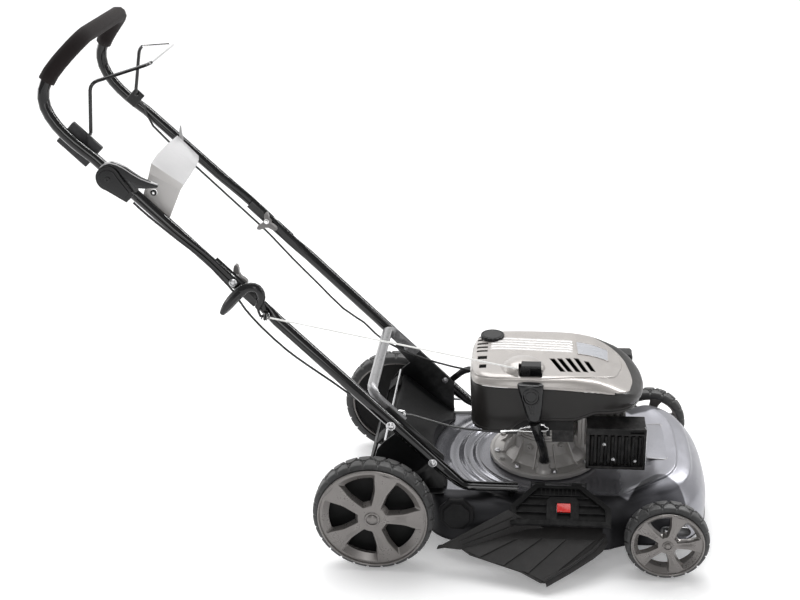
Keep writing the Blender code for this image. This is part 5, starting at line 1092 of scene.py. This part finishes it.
def engine_block():
    # bolts round the base flange, webs, casting details
    bolts = []
    for i in range(8):
        a = math.radians(11 + 45 * i)
        bolts += hexhead((CRANK_X + 0.117 * math.cos(a), 0.117 * math.sin(a), 0.1672), (0, 0, 1), 0.0050, 0.0050)
    o = joined("crankcase_bolts", bolts)
    finish_piece(o, "mower", "steel", angle=35)
    parts = []
    for i in range(12):
        a = math.radians(15 + 30 * i)
        c, s = math.cos(a), math.sin(a)
        web = flat("w", [(0.070, 0.1660), (0.112, 0.1660), (0.100, 0.1745), (0.0765, 0.2150), (0.070, 0.2150)],
                   0.0032, Matrix.Translation((CRANK_X, 0, 0)) @ Matrix.Rotation(a, 4, "Z") @ FLAT["XZ"],
                   bevel=0.0007)
        parts.append(web)
    # ribs and pads up the crankcase
    for z in (0.2230, 0.2310, 0.2390, 0.2470, 0.2550, 0.2630, 0.2710):
        parts.append(rod("r", (CRANK_X, 0, 0), (0, 0, 1),
                         [(0.0735, z - 0.0016), (0.0768, z - 0.0010), (0.0768, z + 0.0010), (0.0735, z + 0.0016)], 64))
    parts.append(rod("rim", (CRANK_X, 0, 0), (0, 0, 1),
                     [(0.1275, 0.1640), (0.1300, 0.1650), (0.1300, 0.1665), (0.1270, 0.1672), (0.1240, 0.1664)], 96))
    for a, r, z, w in ((-118, 0.0760, 0.205, 0.013), (-62, 0.0760, 0.212, 0.011), (-150, 0.0750, 0.225, 0.015),
                       (-38, 0.0750, 0.230, 0.012)):
        c, s = math.cos(math.radians(a)), math.sin(math.radians(a))
        parts.append(rod("p", (CRANK_X + (r - 0.006) * c, (r - 0.006) * s, z), (c, s, 0),
                         [(w * 0.62, 0.0), (w * 0.60, 0.0100), (w * 0.54, 0.0112), (0.0030, 0.0112), (0.0030, 0.0085), (0, 0.0085)], 28))
    o = joined("crankcase_castings", parts)
    finish_piece(o, "mower", "cast", angle=40)
    # filler seat
    o = rod("filler_seat", (0.3880, -0.1130, 0.1600), (0, 0, 1),
            [(0.0190, 0.004), (0.0185, 0.0100), (0.0160, 0.0140), (0.0142, 0.0180), (0.0142, 0.0300),
             (0.0155, 0.0306), (0.0155, 0.0330), (0.0125, 0.0332)], 40)
    finish_piece(o, "mower", "cast", angle=40)
    # governor arm, rod, spring and the end of the throttle cable
    y = -0.1790
    wires = [pipe("c", [(0.2870, y, 0.3085), (0.2990, y, 0.3100)], 0.0034, 4),
             pipe("c", [(0.2990, y, 0.3100), (0.3250, y, 0.3120)], 0.0019, 4),
             pipe("l", [(0.3240, y, 0.3120), (0.3350, y, 0.3180), (0.3560, y, 0.3225), (0.3800, y, 0.3300),
                        (0.3850, y, 0.3290), (0.3880, y, 0.3235), (0.3950, y + 0.002, 0.3200)], 0.0011, 3),
             pipe("l", [(0.3240, y, 0.3120), (0.3420, y, 0.3105), (0.3680, y, 0.3110), (0.3900, y, 0.3130),
                        (0.3960, y, 0.3165), (0.3950, y + 0.002, 0.3200)], 0.0011, 3),
             pipe("r", [(0.3300, y + 0.004, 0.3145), (0.3600, y + 0.004, 0.3240), (0.3860, y + 0.003, 0.3262)], 0.0013, 3)]
    coil = []
    for i in range(60):
        t = i / 59
        p = Vector((0.3480 + 0.030 * t, y + 0.002, 0.3190 + 0.0050 * t))
        a = 2 * math.pi * 9 * t
        coil.append((p.x, p.y + 0.0026 * math.cos(a), p.z + 0.0026 * math.sin(a)))
    wires.append(pipe("s", coil, 0.0006, 2))
    wires.append(rod("e", (0.3952, y - 0.0016, 0.3200), (0, 1, 0), [(0.0030, 0.0), (0.0030, 0.0060)], 16))
    o = joined("governor_linkage", wires)
    finish_piece(o, "mower", "chrome", angle=50)
    # control plate behind the linkage
    parts = [flat("plate", [(0.3050, 0.2960), (0.4500, 0.2960), (0.4560, 0.3260), (0.3300, 0.3240), (0.3050, 0.3100)],
                  0.0022, Matrix.Translation((0, -0.1440, 0)) @ FLAT["XZ"], bevel=0.0006),
             block("b", (0.4050, -0.1440, 0.2650), (0.4540, -0.0720, 0.3220))]
    parts.append(flat("arm", [(0.3910, 0.2960), (0.4000, 0.2960), (0.3990, 0.3230), (0.3915, 0.3240)], 0.0016,
                      Matrix.Translation((0, y + 0.0052, 0)) @ FLAT["XZ"], bevel=0.0004))
    o = joined("control_plate", parts)
    finish_piece(o, "mower", "exhaust", bevel=0.0010, seg=2)


def muffler():
    # pressed guard: rounded uprights in front of a dark box
    x0, x1, yb, yf, z0, z1 = 0.4835, 0.6195, -0.0905, -0.1515, 0.2000, 0.3070
    parts = [block("b", (x0 + 0.004, yf + 0.0120, z0 + 0.004), (x1 - 0.004, yb, z1 - 0.004))]
    n = 8
    pitch = (x1 - x0 - 0.012) / n
    for i in range(n):
        c = x0 + 0.006 + pitch * (i + 0.5)
        w = pitch * 0.30
        loop = [(c + w * math.cos(math.pi * k / 8), yf + 0.0100 - 0.0095 * math.sin(math.pi * k / 8)) for k in range(9)]
        loop += [(c - w, yf + 0.0130), (c + w, yf + 0.0130)]
        parts.append(flat("u", loop, z1 - z0 - 0.030, Matrix.Translation((0, 0, (z0 + z1) / 2 - 0.006)), bevel=0.0006))
    o = joined("muffler_box", parts)
    finish_piece(o, "mower", "exhaust", ("muffler",), bevel=0.0012, seg=2)
    DONE.add("muffler")
    frame_ = [block("t", (x0, yf - 0.0003, z1 - 0.0170), (x1, yf + 0.0140, z1)),
              block("l", (x0, yf, z0), (x0 + 0.0070, yf + 0.0130, z1 - 0.008)),
              block("r", (x1 - 0.0060, yf, z0), (x1, yf + 0.0130, z1 - 0.008)),
              block("d", (x0, yf, z0), (x1, yf + 0.0130, z0 + 0.0070)),
              block("c", (x0 + 0.001, yf + 0.0100, z1 - 0.0040), (x1 - 0.001, yb + 0.002, z1))]
    carve(frame_[0], block("c", (0.5830, yf - 0.002, z1 - 0.0110), (0.6130, yf + 0.004, z1 - 0.0060)))
    o = joined("muffler_guard", frame_)
    finish_piece(o, "mower", "exhaust", bevel=0.0014, seg=2)
    bolts = [domebolt((x, yf + 0.0006, z), (0, -1, 0), 0.0029, 0.0030)
             for x, z in ((0.5245, 0.2660), (0.5460, 0.2270), (0.5960, 0.2235))]
    bolts.append(pipe("w", [(x1 + 0.0004, yf + 0.003, 0.2100), (x1 + 0.0004, yf + 0.003, 0.3040),
                            (x1 - 0.004, yf + 0.006, 0.3110)], 0.0009, 3))
    o = joined("muffler_bolts", bolts)
    finish_piece(o, "mower", "steel", angle=40)


# ------------------------------------------------------------------ side flap and chute
FLAP_TOP = Vector((0.425, -0.184, 0.1770))
FLAP_LOW = Vector((0.425, -0.2730, 0.1210))


def slope(top, low):
    ez = (low - top).normalized()
    nrm = Vector((0, ez.z, -ez.y)).normalized()
    return Matrix.Translation(top) @ Matrix((Vector((1, 0, 0)), ez, nrm)).transposed().to_4x4(), (low - top).length


def local_block(m, lo, hi):
    o = block("b", lo, hi)
    o.data.transform(m)
    return o


def side_flap():
    m, h = slope(FLAP_TOP, FLAP_LOW)
    outer = [(-0.0600, 0.0070), (0.0520, 0.0070), (0.1150, 0.0600), (0.1150, h), (-0.1120, h), (-0.1120, 0.0600)]
    inner = [(-0.0500, 0.0135), (0.0430, 0.0135), (0.1020, 0.0640), (0.1020, h - 0.0110),
             (-0.0990, h - 0.0110), (-0.0990, 0.0650)]
    def lift(z):
        return m @ Matrix.Translation((0, 0, z))
    gap = [(-0.0080, 0.0515), (0.0250, 0.0515), (0.0250, 0.0745), (-0.0080, 0.0745)]
    back = flat("b", outer, 0.0026, lift(-0.0037), holes=[gap], bevel=0.0008)
    parts = [back,
             flat("f", outer, 0.0110, lift(0.0005), holes=[inner], bevel=0.0012)]
    hatch = [(-0.0210, 0.0350), (0.0350, 0.0350), (0.0430, 0.0450), (0.0430, h - 0.0060), (-0.0310, h - 0.0060),
             (-0.0310, 0.0450)]
    well = [(-0.0076, 0.0519), (0.0246, 0.0519), (0.0246, 0.0741), (-0.0076, 0.0741)]
    notch = [(-0.0060, 0.0765), (0.0232, 0.0765), (0.0232, 0.0895), (-0.0060, 0.0895)]
    parts.append(flat("h", hatch, 0.0085, lift(0.0008), holes=[well, notch], bevel=0.0012))
    # ribs across the two side bays
    for v, xl, xr in ((0.0360, -0.0710, 0.0650), (0.0545, -0.0930, 0.0880), (0.0740, -0.1000, 0.1030)):
        for a, b in ((xl, -0.0240 if v < 0.04 else -0.0300), (0.0340 if v < 0.04 else 0.0420, xr)):
            parts.append(local_block(m, (a, v - 0.0011, -0.0030), (b, v + 0.0011, 0.0036)))
    parts.append(local_block(m, (-0.0600, 0.0300, -0.0030), (0.0540, 0.0322, 0.0040)))
    for i in range(9):
        x = -0.0420 + 0.0098 * i
        parts.append(local_block(m, (x - 0.0009, 0.0120, -0.0030), (x + 0.0009, 0.0310, 0.0034)))
    for x0, x1 in ((-0.058, -0.034), (0.026, 0.050)):
        k = rod("k", m @ Vector((x0, 0.0030, 0.0012)), (1, 0, 0),
                [(0.0023, 0.0), (0.0046, 0.0004), (0.0046, x1 - x0 - 0.0004), (0.0023, x1 - x0)], 20)
        parts += [k, local_block(m, (x0, 0.0045, -0.0036), (x1, 0.0100, 0.0038))]
    o = joined("side_flap_frame", parts)
    finish_piece(o, "flap", "flap", ("side_flap",), bevel=0.0005, seg=2)
    DONE.add("side_flap")
    o = local_block(m, (-0.0050, 0.0775, -0.0045), (0.0222, 0.0885, -0.0015))
    o.name = "side_flap_recess"
    finish_piece(o, "flap", "dark", bevel=0.0004, seg=1)


def chute():
    t0, t1 = Vector((0.0, -0.2380, 0.1120)), Vector((0.0, -0.3650, 0.0290))
    m, L = slope(t0, t1)
    # four overlapping leaves, each a little prouder than the one behind it
    out = [(0.324, 0.000), (0.529, 0.000), (0.529, 0.037), (0.522, 0.044), (0.498, 0.072),
           (0.392, L - 0.0005), (0.382, L - 0.0005), (0.338, 0.128), (0.222, 0.092), (0.196, 0.070),
           (0.146, 0.080), (0.150, 0.070), (0.296, 0.043), (0.322, 0.034)]
    sheet = flat("s", out, 0.0024, m @ Matrix.Translation((0, 0, -0.0004)), bevel=0.0006)
    parts = [sheet]
    lines = ((0.505, 0.046, 0.392, 0.150), (0.440, 0.046, 0.355, 0.1300), (0.385, 0.046, 0.300, 0.1140),
             (0.330, 0.048, 0.245, 0.0970), (0.285, 0.051, 0.205, 0.0780))
    for (xa, va, xb, vb), (xc, vc, xd, vd) in zip(lines, lines[1:]):
        leaf = [(xa, va), (xb, vb), (xd, vd), (xc, vc)]
        rows = []
        U, W = 12, 10
        for i in range(U):
            for j in range(W):
                s, t = i / (U - 1), j / (W - 1)
                p = Vector((xa, va)).lerp(Vector((xb, vb)), s).lerp(Vector((xc, vc)).lerp(Vector((xd, vd)), s), t)
                rows.append(m @ Vector((p.x, p.y, 0.0010 + 0.0030 * (1 - t) ** 1.4)))
        leafm = mesh_of("leaf", rows, grid_faces(U, W))
        face_up(leafm)
        parts.append(solid(leafm, 0.0016))
    lip = [m @ Vector(p) for p in ((0.5240, 0.0400, 0.0022), (0.5000, 0.0700, 0.0026), (0.4450, 0.1120, 0.0026),
                                   (0.3890, L - 0.0040, 0.0022))]
    parts.append(pipe("lip", lip, 0.0034, 5))
    lip = [m @ Vector(p) for p in ((0.3840, L - 0.0030, 0.0006), (0.3380, 0.1262, 0.0004), (0.2230, 0.0905, 0.0004),
                                   (0.1960, 0.0715, 0.0004))]
    parts.append(pipe("lip", lip, 0.0019, 3))
    parts.append(local_block(m, (0.3400, 0.0005, 0.0000), (0.5270, 0.0150, 0.0050)))
    # raised leaf up to the flap's end
    a, b = Vector((0.3100, -0.2690, 0.1560)), m @ Vector((0.1500, 0.0760, 0.0010))
    c, d = m @ Vector((0.3480, 0.0250, 0.0010)), m @ Vector((0.2000, 0.0800, 0.0010))
    rows = []
    for i in range(10):
        t = i / 9
        for j in range(8):
            u = j / 7
            q = a.lerp(b, t).lerp(c.lerp(d, t), u)
            rows.append(q + Vector((0, -0.0022 * math.sin(math.pi * u), 0.0016 * math.sin(math.pi * u))))
    wing = mesh_of("wing", rows, grid_faces(10, 8))
    face_up(wing)
    parts.append(solid(wing, 0.0018))
    parts.append(pipe("edge", [a, a.lerp(b, 0.5), b], 0.0017, 3))
    e, g = Vector((0.3450, -0.2540, 0.1240)), m @ Vector((0.3900, 0.0200, 0.0010))
    rows = [a.lerp(e, i / 5).lerp(c.lerp(g, i / 5), j / 5) for i in range(6) for j in range(6)]
    back = mesh_of("back", rows, grid_faces(6, 6))
    face_up(back)
    parts.append(solid(back, 0.0018))
    line = [(0.5270, 0.0360), (0.5160, 0.0560), (0.4960, 0.0760), (0.4450, 0.1140), (0.3920, L - 0.0020)]
    rows = []
    for i, (u, v) in enumerate(line):
        q, w = m @ Vector((u, v, 0.0004)), 1.25 - 0.11 * i
        rows += [q, q + Vector((0.0030, -0.0020, -0.0020)) * w, q + Vector((0.0050, -0.0035, -0.0070)) * w,
                 q + Vector((0.0056, -0.0040, -0.0130)) * w]
    fold = mesh_of("fold", rows, grid_faces(5, 4))
    parts.append(solid(fold, 0.0016))
    for u, t1 in ((0.34, 0.80), (0.68, 0.88)):
        pts = []
        for i in range(9):
            t = 0.02 + (t1 - 0.02) * i / 8
            q = a.lerp(b, t).lerp(c.lerp(d, t), u)
            pts.append(q + Vector((0, -0.0022 * math.sin(math.pi * u) - 0.0012, 0.0016 * math.sin(math.pi * u) + 0.0008)))
        parts.append(pipe("rib", pts, 0.0011, 2))
    o = joined("discharge_chute_leaves", parts)
    finish_piece(o, "mower", "chute", ("discharge_chute",), bevel=0.0003, seg=1, angle=40)
    DONE.add("discharge_chute")


def details():
    # heads of the carriage bolts on the side plates and the tube's deck end
    heads = [domebolt((0.0390, -0.2145, 0.3350), (0, -1, 0), 0.0085, 0.0050),
             domebolt((0.1330, -0.2145, 0.2410), (0, -1, 0), 0.0080, 0.0050),
             domebolt((0.3140, -0.1660, 0.1506), (0, 0, 1), 0.0078, 0.0090)]
    for x, z in ((0.0370, 0.3390), (0.1345, 0.2500)):
        heads.append(rod("w", (x, 0.1826, z), (0, -1, 0), [(0.0, 0.0), (0.0078, 0.0), (0.0078, 0.0010), (0.0, 0.0010)], 24))
        heads.append(rod("n", (x, 0.1818, z), (0, -1, 0), [(0.0, 0.0), (0.0056, 0.0), (0.0056, 0.0034), (0.0048, 0.0042), (0.0, 0.0042)], 6))
        heads.append(rod("t", (x, 0.1780, z), (0, -1, 0), [(0.0, 0.0), (0.0030, 0.0), (0.0030, 0.0030), (0.0024, 0.0036), (0.0, 0.0036)], 16))
    o = joined("carriage_bolts", heads)
    finish_piece(o, "mower", "steel", angle=40)
    o = pipe("hook_rod", [(0.0260, -0.1700, 0.3400), (0.0330, -0.1700, 0.3460), (0.0420, -0.1700, 0.3485),
                          (0.0580, -0.1700, 0.3500), (0.0650, -0.1700, 0.3490), (0.0668, -0.1700, 0.3440),
                          (0.0655, -0.1700, 0.3330)], 0.0030, 5)
    finish_piece(o, "mower", "chrome", angle=60)


def controls():
    c = Vector((-0.5385, -0.2320, 0.9310))
    d, nrm = Vector((0.7025, 0, -0.7117)), Vector((0.7117, 0, 0.7025))
    ang = math.atan2(d.z, d.x)
    def drop(k, end):
        out = [(c.x + k * math.cos(a), c.z + k * math.sin(a)) for a in
               [ang + math.radians(62 + 236 * i / 40) for i in range(41)]]
        e = c + d * end
        return out + [(e.x - nrm.x * 0.47 * k, e.z - nrm.z * 0.47 * k), (e.x + nrm.x * 0.47 * k, e.z + nrm.z * 0.47 * k)]
    parts = [flat("p", drop(0.0272, 0.0615), 0.0046, Matrix.Translation((0, -0.2478, 0)) @ FLAT["XZ"], bevel=0.0018, seg=3),
             flat("p", drop(0.0200, 0.0520), 0.0030, Matrix.Translation((0, -0.2510, 0)) @ FLAT["XZ"], bevel=0.0012, seg=2),
             rod("s", (c.x, -0.2520, c.z), (0, -1, 0), [(0.0058, 0.0), (0.0058, 0.0016), (0.0050, 0.0022), (0.0026, 0.0022),
                                                         (0.0022, 0.0012), (0.0, 0.0012)], 24),
             rod("b", (c.x, -0.2465, c.z), (0, 1, 0), [(0.0, 0.0), (0.0070, 0.0), (0.0070, 0.0020), (0.0, 0.0020)], 24)]
    o = joined("control_housing_cover", parts)
    finish_piece(o, "upper", "gloss_plastic", angle=35)
    # lever: curved blade; the broad pale strip along its top edge is a painted highlight
    px, pz = c.x, c.z
    top = [(-0.0160, 0.0235), (-0.0060, 0.0305), (0.0060, 0.0335), (0.0200, 0.0300), (0.0360, 0.0215), (0.0520, 0.0095),
           (0.0680, -0.0005), (0.0850, -0.0075), (0.1050, -0.0140)]
    low = [(0.1035, -0.0190), (0.0850, -0.0200), (0.0700, -0.0185), (0.0560, -0.0120), (0.0400, -0.0020), (0.0200, 0.0050),
           (0.0000, 0.0090), (-0.0120, 0.0100)]
    top = [(px + a, pz + b) for a, b in top]
    low = [(px + a, pz + b) for a, b in low]
    blade = flat("b", top + low, 0.0050, Matrix.Translation((0, -0.2425, 0)) @ FLAT["XZ"], bevel=0.0012)
    o = joined("throttle_lever_blade", [blade])
    finish_piece(o, "throttle", "gloss_plastic", angle=35)
    # painted highlight: pale console moulding laid along the lever's top edge
    n = 30
    verts = []
    for i in range(n):
        t = i / (n - 1) * (len(top) - 1)
        a, f = min(int(t), len(top) - 2), t - min(int(t), len(top) - 2)
        xx, zz = (top[a][k] + (top[a + 1][k] - top[a][k]) * f for k in (0, 1))
        wide = 0.0006 + 0.0120 * math.sin(math.pi * min(1.0, 0.12 + 0.88 * i / (n - 1))) ** 0.7
        for yy, dz in ((-0.2452, -0.0012), (-0.2452, 0.0010), (-0.2446 + wide, 0.0014), (-0.2446 + wide, -0.0010)):
            verts.append((xx, yy, zz + dz))
    o = mesh_of("throttle_lever_painted_highlight", verts, grid_faces(n, 4, True) + [(0, 1, 2, 3), tuple(4 * (n - 1) + j for j in range(4))])
    finish_piece(o, "throttle", "console", angle=40)
    # bolts through the star knobs, the console's fixing
    for tag, sg, body in (("right", -1, "knob_r"), ("left", 1, "knob_l")):
        o = joined("star_bolt_" + tag, [rod("s", (-0.3000, sg * 0.1632, 0.6866), (0, -sg, 0),
                                            [(0.0062, 0.0), (0.0062, 0.0006), (0.0046, 0.0008), (0.0044, 0.0028), (0.0036, 0.0034), (0, 0.0034)], 24)])
        finish_piece(o, body, "chrome", angle=35)
    o = joined("console_bolt", [rod("s", (-0.4640, -0.1835, 0.8790), (0, -1, 0), [(0.0070, 0.0), (0.0070, 0.0016), (0.0056, 0.0022), (0.0, 0.0022)], 24)])
    finish_piece(o, "upper", "plastic", angle=35)
    o = joined("console_screw", [rod("s", (-0.4640, -0.1850, 0.8790), (0, -1, 0), [(0.0034, 0.0), (0.0034, 0.0018), (0.0026, 0.0024), (0.0, 0.0024)], 6)])
    finish_piece(o, "upper", "chrome", angle=35)
    rows = []
    for i in range(9):
        t = i / 8
        wdt = 0.0085 * (1 - t) ** 0.7 + 0.0022
        q = Vector((-0.4975 - 0.0015 * math.sin(math.pi * t), 0.1790 + 0.0030 * t, 0.8880 + 0.0370 * t))
        for j in range(5):
            u = j / 4 * 2 - 1
            rows.append(q + Vector((u * wdt * 0.5, -0.0012 * (1 - u * u), 0)))
    tongue = mesh_of("console_tongue", rows, grid_faces(9, 5))
    solid(tongue, 0.0016)
    finish_piece(tongue, "upper", "console", angle=50)
    # pig-tail guide: three open turns round the cord
    g, ax = Vector((-0.2300, -0.2225, 0.6060)), Vector((0.582, 0.089, -0.178)).normalized()
    e1 = ax.cross(Vector((0, 0, 1))).normalized()
    e2 = ax.cross(e1)
    pts = []
    for i in range(73):
        a = 2 * math.pi * i / 24
        pts.append(g + ax * (-0.0085 + 0.0170 * i / 72) + (e1 * math.cos(a) + e2 * math.sin(a)) * 0.0066)
    pts += [g + ax * 0.0090 + e1 * 0.0120, g + ax * 0.0060 + Vector((0.0, 0.0090, 0.0060))]
    o = pipe("pig_tail", pts, 0.0015, 3)
    finish_piece(o, "mower", "dark_steel", angle=60)
    # the run of cord that comes out with the grip; at rest it lies inside the fixed run
    end = g + ax * 0.0105
    run = (Vector((0.3240, -0.1343, 0.4473)) - end).normalized()
    o = pipe("pulled_cord", [end + run * t for t in (-0.0200, -0.0100, 0.0, 0.1600, 0.3200, 0.4700)], 0.0017, 6)
    finish_piece(o, "starter", "rope", angle=60)
    o = pipe("cord_knot", [Vector((-0.2430, -0.2320, 0.6290)), Vector((-0.2425, -0.2285, 0.6200)),
                           end - run * 0.0215, end - run * 0.0150], 0.0030, 6,
             radii=[1.0, 1.0, 1.0, 0.8])
    finish_piece(o, "starter", "gloss_plastic", angle=60)


def dipstick():
    # knob's outline and grip ridges moulded on both faces of the handle
    parts = []
    for sg in (-1, 1):
        y = -0.1800 + sg * 0.0126
        for rx, rz, r in ((0.0190, 0.0195, 0.0017), (0.0125, 0.0130, 0.0010)):
            pts = [(0.3550 + rx * math.cos(a), y, 0.4060 + rz * math.sin(a)) for a in
                   [2 * math.pi * i / 40 for i in range(40)]]
            parts.append(pipe("k", pts, r, 3, cyclic=True))
        for dx in (-0.0060, 0.0, 0.0060):
            parts.append(pipe("g", [(0.3560 + dx, y, 0.3820), (0.3595 + dx * 0.6, y, 0.3600)], 0.0011, 2))
    o = joined("dipstick_relief", parts)
    finish_piece(o, "dip", "gloss_plastic", angle=60)


def bulb():
    o = rod("primer_bulb_dome", (0.6072, 0.0850, 0.3190), (1, 0, 0),
            [(0.0, 0.0), (0.0092, 0.0), (0.0092, 0.0041), (0.0132, 0.0043), (0.0135, 0.0052), (0.0130, 0.0064),
             (0.0118, 0.0072), (0.0112, 0.0092), (0.0098, 0.0122), (0.0074, 0.0145), (0.0038, 0.0161),
             (0.0, 0.0166)], 48)
    finish_piece(o, "primer", "bulb", ("primer_bulb",), angle=45)
    DONE.add("primer_bulb")


controls()
dipstick()
bulb()
top_cover()
shroud()
fuel_cap()
engine_block()
muffler()
side_flap()
chute()
details()

for _n, (_m, _b) in SKINS.items():
    if _n not in DONE:
        _o = skin(_n, _m, _b, angle=60 if _n == "foam_grip" else 35, flat=0.05 if _n == "foam_grip" else 0.6)
        if _n == "console_panel":
            _o.data.materials.append(MAT["console_ear"])
            # painted light and shade: side-facing and lower faces of the console take the second tone
            for _p in _o.data.polygons:
                if abs(_p.normal.y) > 0.6 or _p.center.z < 0.862:
                    _p.material_index = 1
        if _n == "bail":
            _o.data.materials.append(MAT["chrome"])
            for _p in _o.data.polygons:
                if _p.center.z > 1.104 and -0.085 < _p.center.y - 0.0345 < 0.160:
                    _p.material_index = 1


# ------------------------------------------------------------------ floor, light, camera
def lamp(name, loc, target, size, power, color=(1, 1, 1), size_y=None):
    d = bpy.data.lights.new(name, "AREA")
    d.energy = power
    d.color = color
    d.size = size
    if size_y:
        d.shape = "RECTANGLE"
        d.size_y = size_y
    o = bpy.data.objects.new(name, d)
    COL.objects.link(o)
    o.location = loc
    o.rotation_euler = (Vector(target) - Vector(loc)).to_track_quat("-Z", "Y").to_euler()
    return o


def studio():
    bm = bmesh.new()
    n, r = 96, 90.0
    c = bm.verts.new((0, 0, 0))
    ring = [bm.verts.new((r * math.cos(2 * math.pi * i / n), r * math.sin(2 * math.pi * i / n), 0))
            for i in range(n)]
    for i in range(n):
        bm.faces.new((c, ring[i], ring[(i + 1) % n]))
    me = bpy.data.meshes.new("floor")
    bm.to_mesh(me)
    bm.free()
    o = add("floor", me)
    o.location = (0, 0, -0.0006)
    m = bpy.data.materials.new("floor")
    m.use_nodes = True
    b = m.node_tree.nodes["Principled BSDF"]
    b.inputs["Base Color"].default_value = (0.93, 0.93, 0.935, 1)
    b.inputs["Roughness"].default_value = 0.55
    b.inputs["Specular IOR Level"].default_value = 0.25
    b.inputs["Emission Color"].default_value = (1, 1, 1, 1)
    b.inputs["Emission Strength"].default_value = 0.18
    me.materials.append(m)

    w = bpy.data.worlds.new("studio")
    w.use_nodes = True
    w.node_tree.nodes["Background"].inputs[0].default_value = (1.0, 1.0, 1.0, 1)
    nt = w.node_tree
    tc = nt.nodes.new("ShaderNodeTexCoord")
    sx = nt.nodes.new("ShaderNodeSeparateXYZ")
    nt.links.new(tc.outputs["Generated"], sx.inputs[0])
    far = _ramp(nt, sx.outputs["Y"], ((0.10, 0.0), (0.55, 1.0)))
    low = _ramp(nt, sx.outputs["Z"], ((0.45, 1.0), (0.72, 0.0)))
    side = _ramp(nt, _math(nt, "ADD", _math(nt, "MULTIPLY", sx.outputs["X"], 0.5), 0.5), ((0.35, 1.0), (0.68, 0.25)))
    wall = _math(nt, "MULTIPLY", _math(nt, "MULTIPLY", far, low), side)
    nt.links.new(_math(nt, "ADD", _math(nt, "MULTIPLY", wall, 1.25), 0.34),
                 nt.nodes["Background"].inputs[1])
    bpy.context.scene.world = w

    sun = bpy.data.lights.new("sky_panel", "SUN")
    sun.energy = 1.75
    sun.angle = math.radians(58)
    so = bpy.data.objects.new("sky_panel", sun)
    COL.objects.link(so)
    so.rotation_euler = (Vector((0.12, -0.36, -1.0))).to_track_quat("-Z", "Y").to_euler()
    lamp("top", (-0.1, 0.9, 2.4), (0.2, 0, 0.2), 1.6, 18)
    lamp("front_strip", (2.6, -0.4, 1.3), (0.4, 0, 0.2), 0.5, 10, size_y=1.6)
    lamp("side_strip", (0.2, -3.0, 1.9), (0.2, 0, 0.25), 0.9, 19, size_y=2.2)
    lamp("left_panel", (-2.5, 0.9, 1.5), (0.1, 0, 0.2), 1.3, 14)
    # long narrow light lying parallel to the handle
    t = Vector((0.7025, 0, -0.7117))
    z = Vector((0.616, 0.50, 0.608)).normalized()
    y = (t - z * t.dot(z)).normalized()
    strip = lamp("handle_strip", (0, 0, 0), (0, 0, -1), 0.20, 60, size_y=2.6)
    strip.visible_diffuse = False
    strip.visible_camera = False
    m = Matrix((y.cross(z), y, z)).transposed().to_4x4()
    strip.matrix_world = Matrix.Translation(Vector((-0.25, 0, 0.66)) + z * 2.6) @ m


def camera():
    px, py, pz, yaw, pitch, roll, f = 0.3526, -2.6895, 1.7397, 0.1142, 0.4129, -0.0293, 1253.2364
    sy, cy, sp, cp = math.sin(yaw), math.cos(yaw), math.sin(pitch), math.cos(pitch)
    fwd = Vector((-sy * cp, cy * cp, -sp))
    right = Vector((cy, sy, 0))
    up = right.cross(fwd)
    cr, sr = math.cos(roll), math.sin(roll)
    r = cr * right + sr * up
    u = -sr * right + cr * up
    d = bpy.data.cameras.new("camera")
    d.sensor_width = 36.0
    d.lens = f * 36.0 / 800.0
    o = bpy.data.objects.new("camera", d)
    COL.objects.link(o)
    m = Matrix((r, u, -fwd)).transposed().to_4x4()
    m.translation = Vector((px, py, pz)) + SHIFT
    o.matrix_world = m
    bpy.context.scene.camera = o


studio()
camera()
bpy.context.scene.view_settings.view_transform = "Standard"
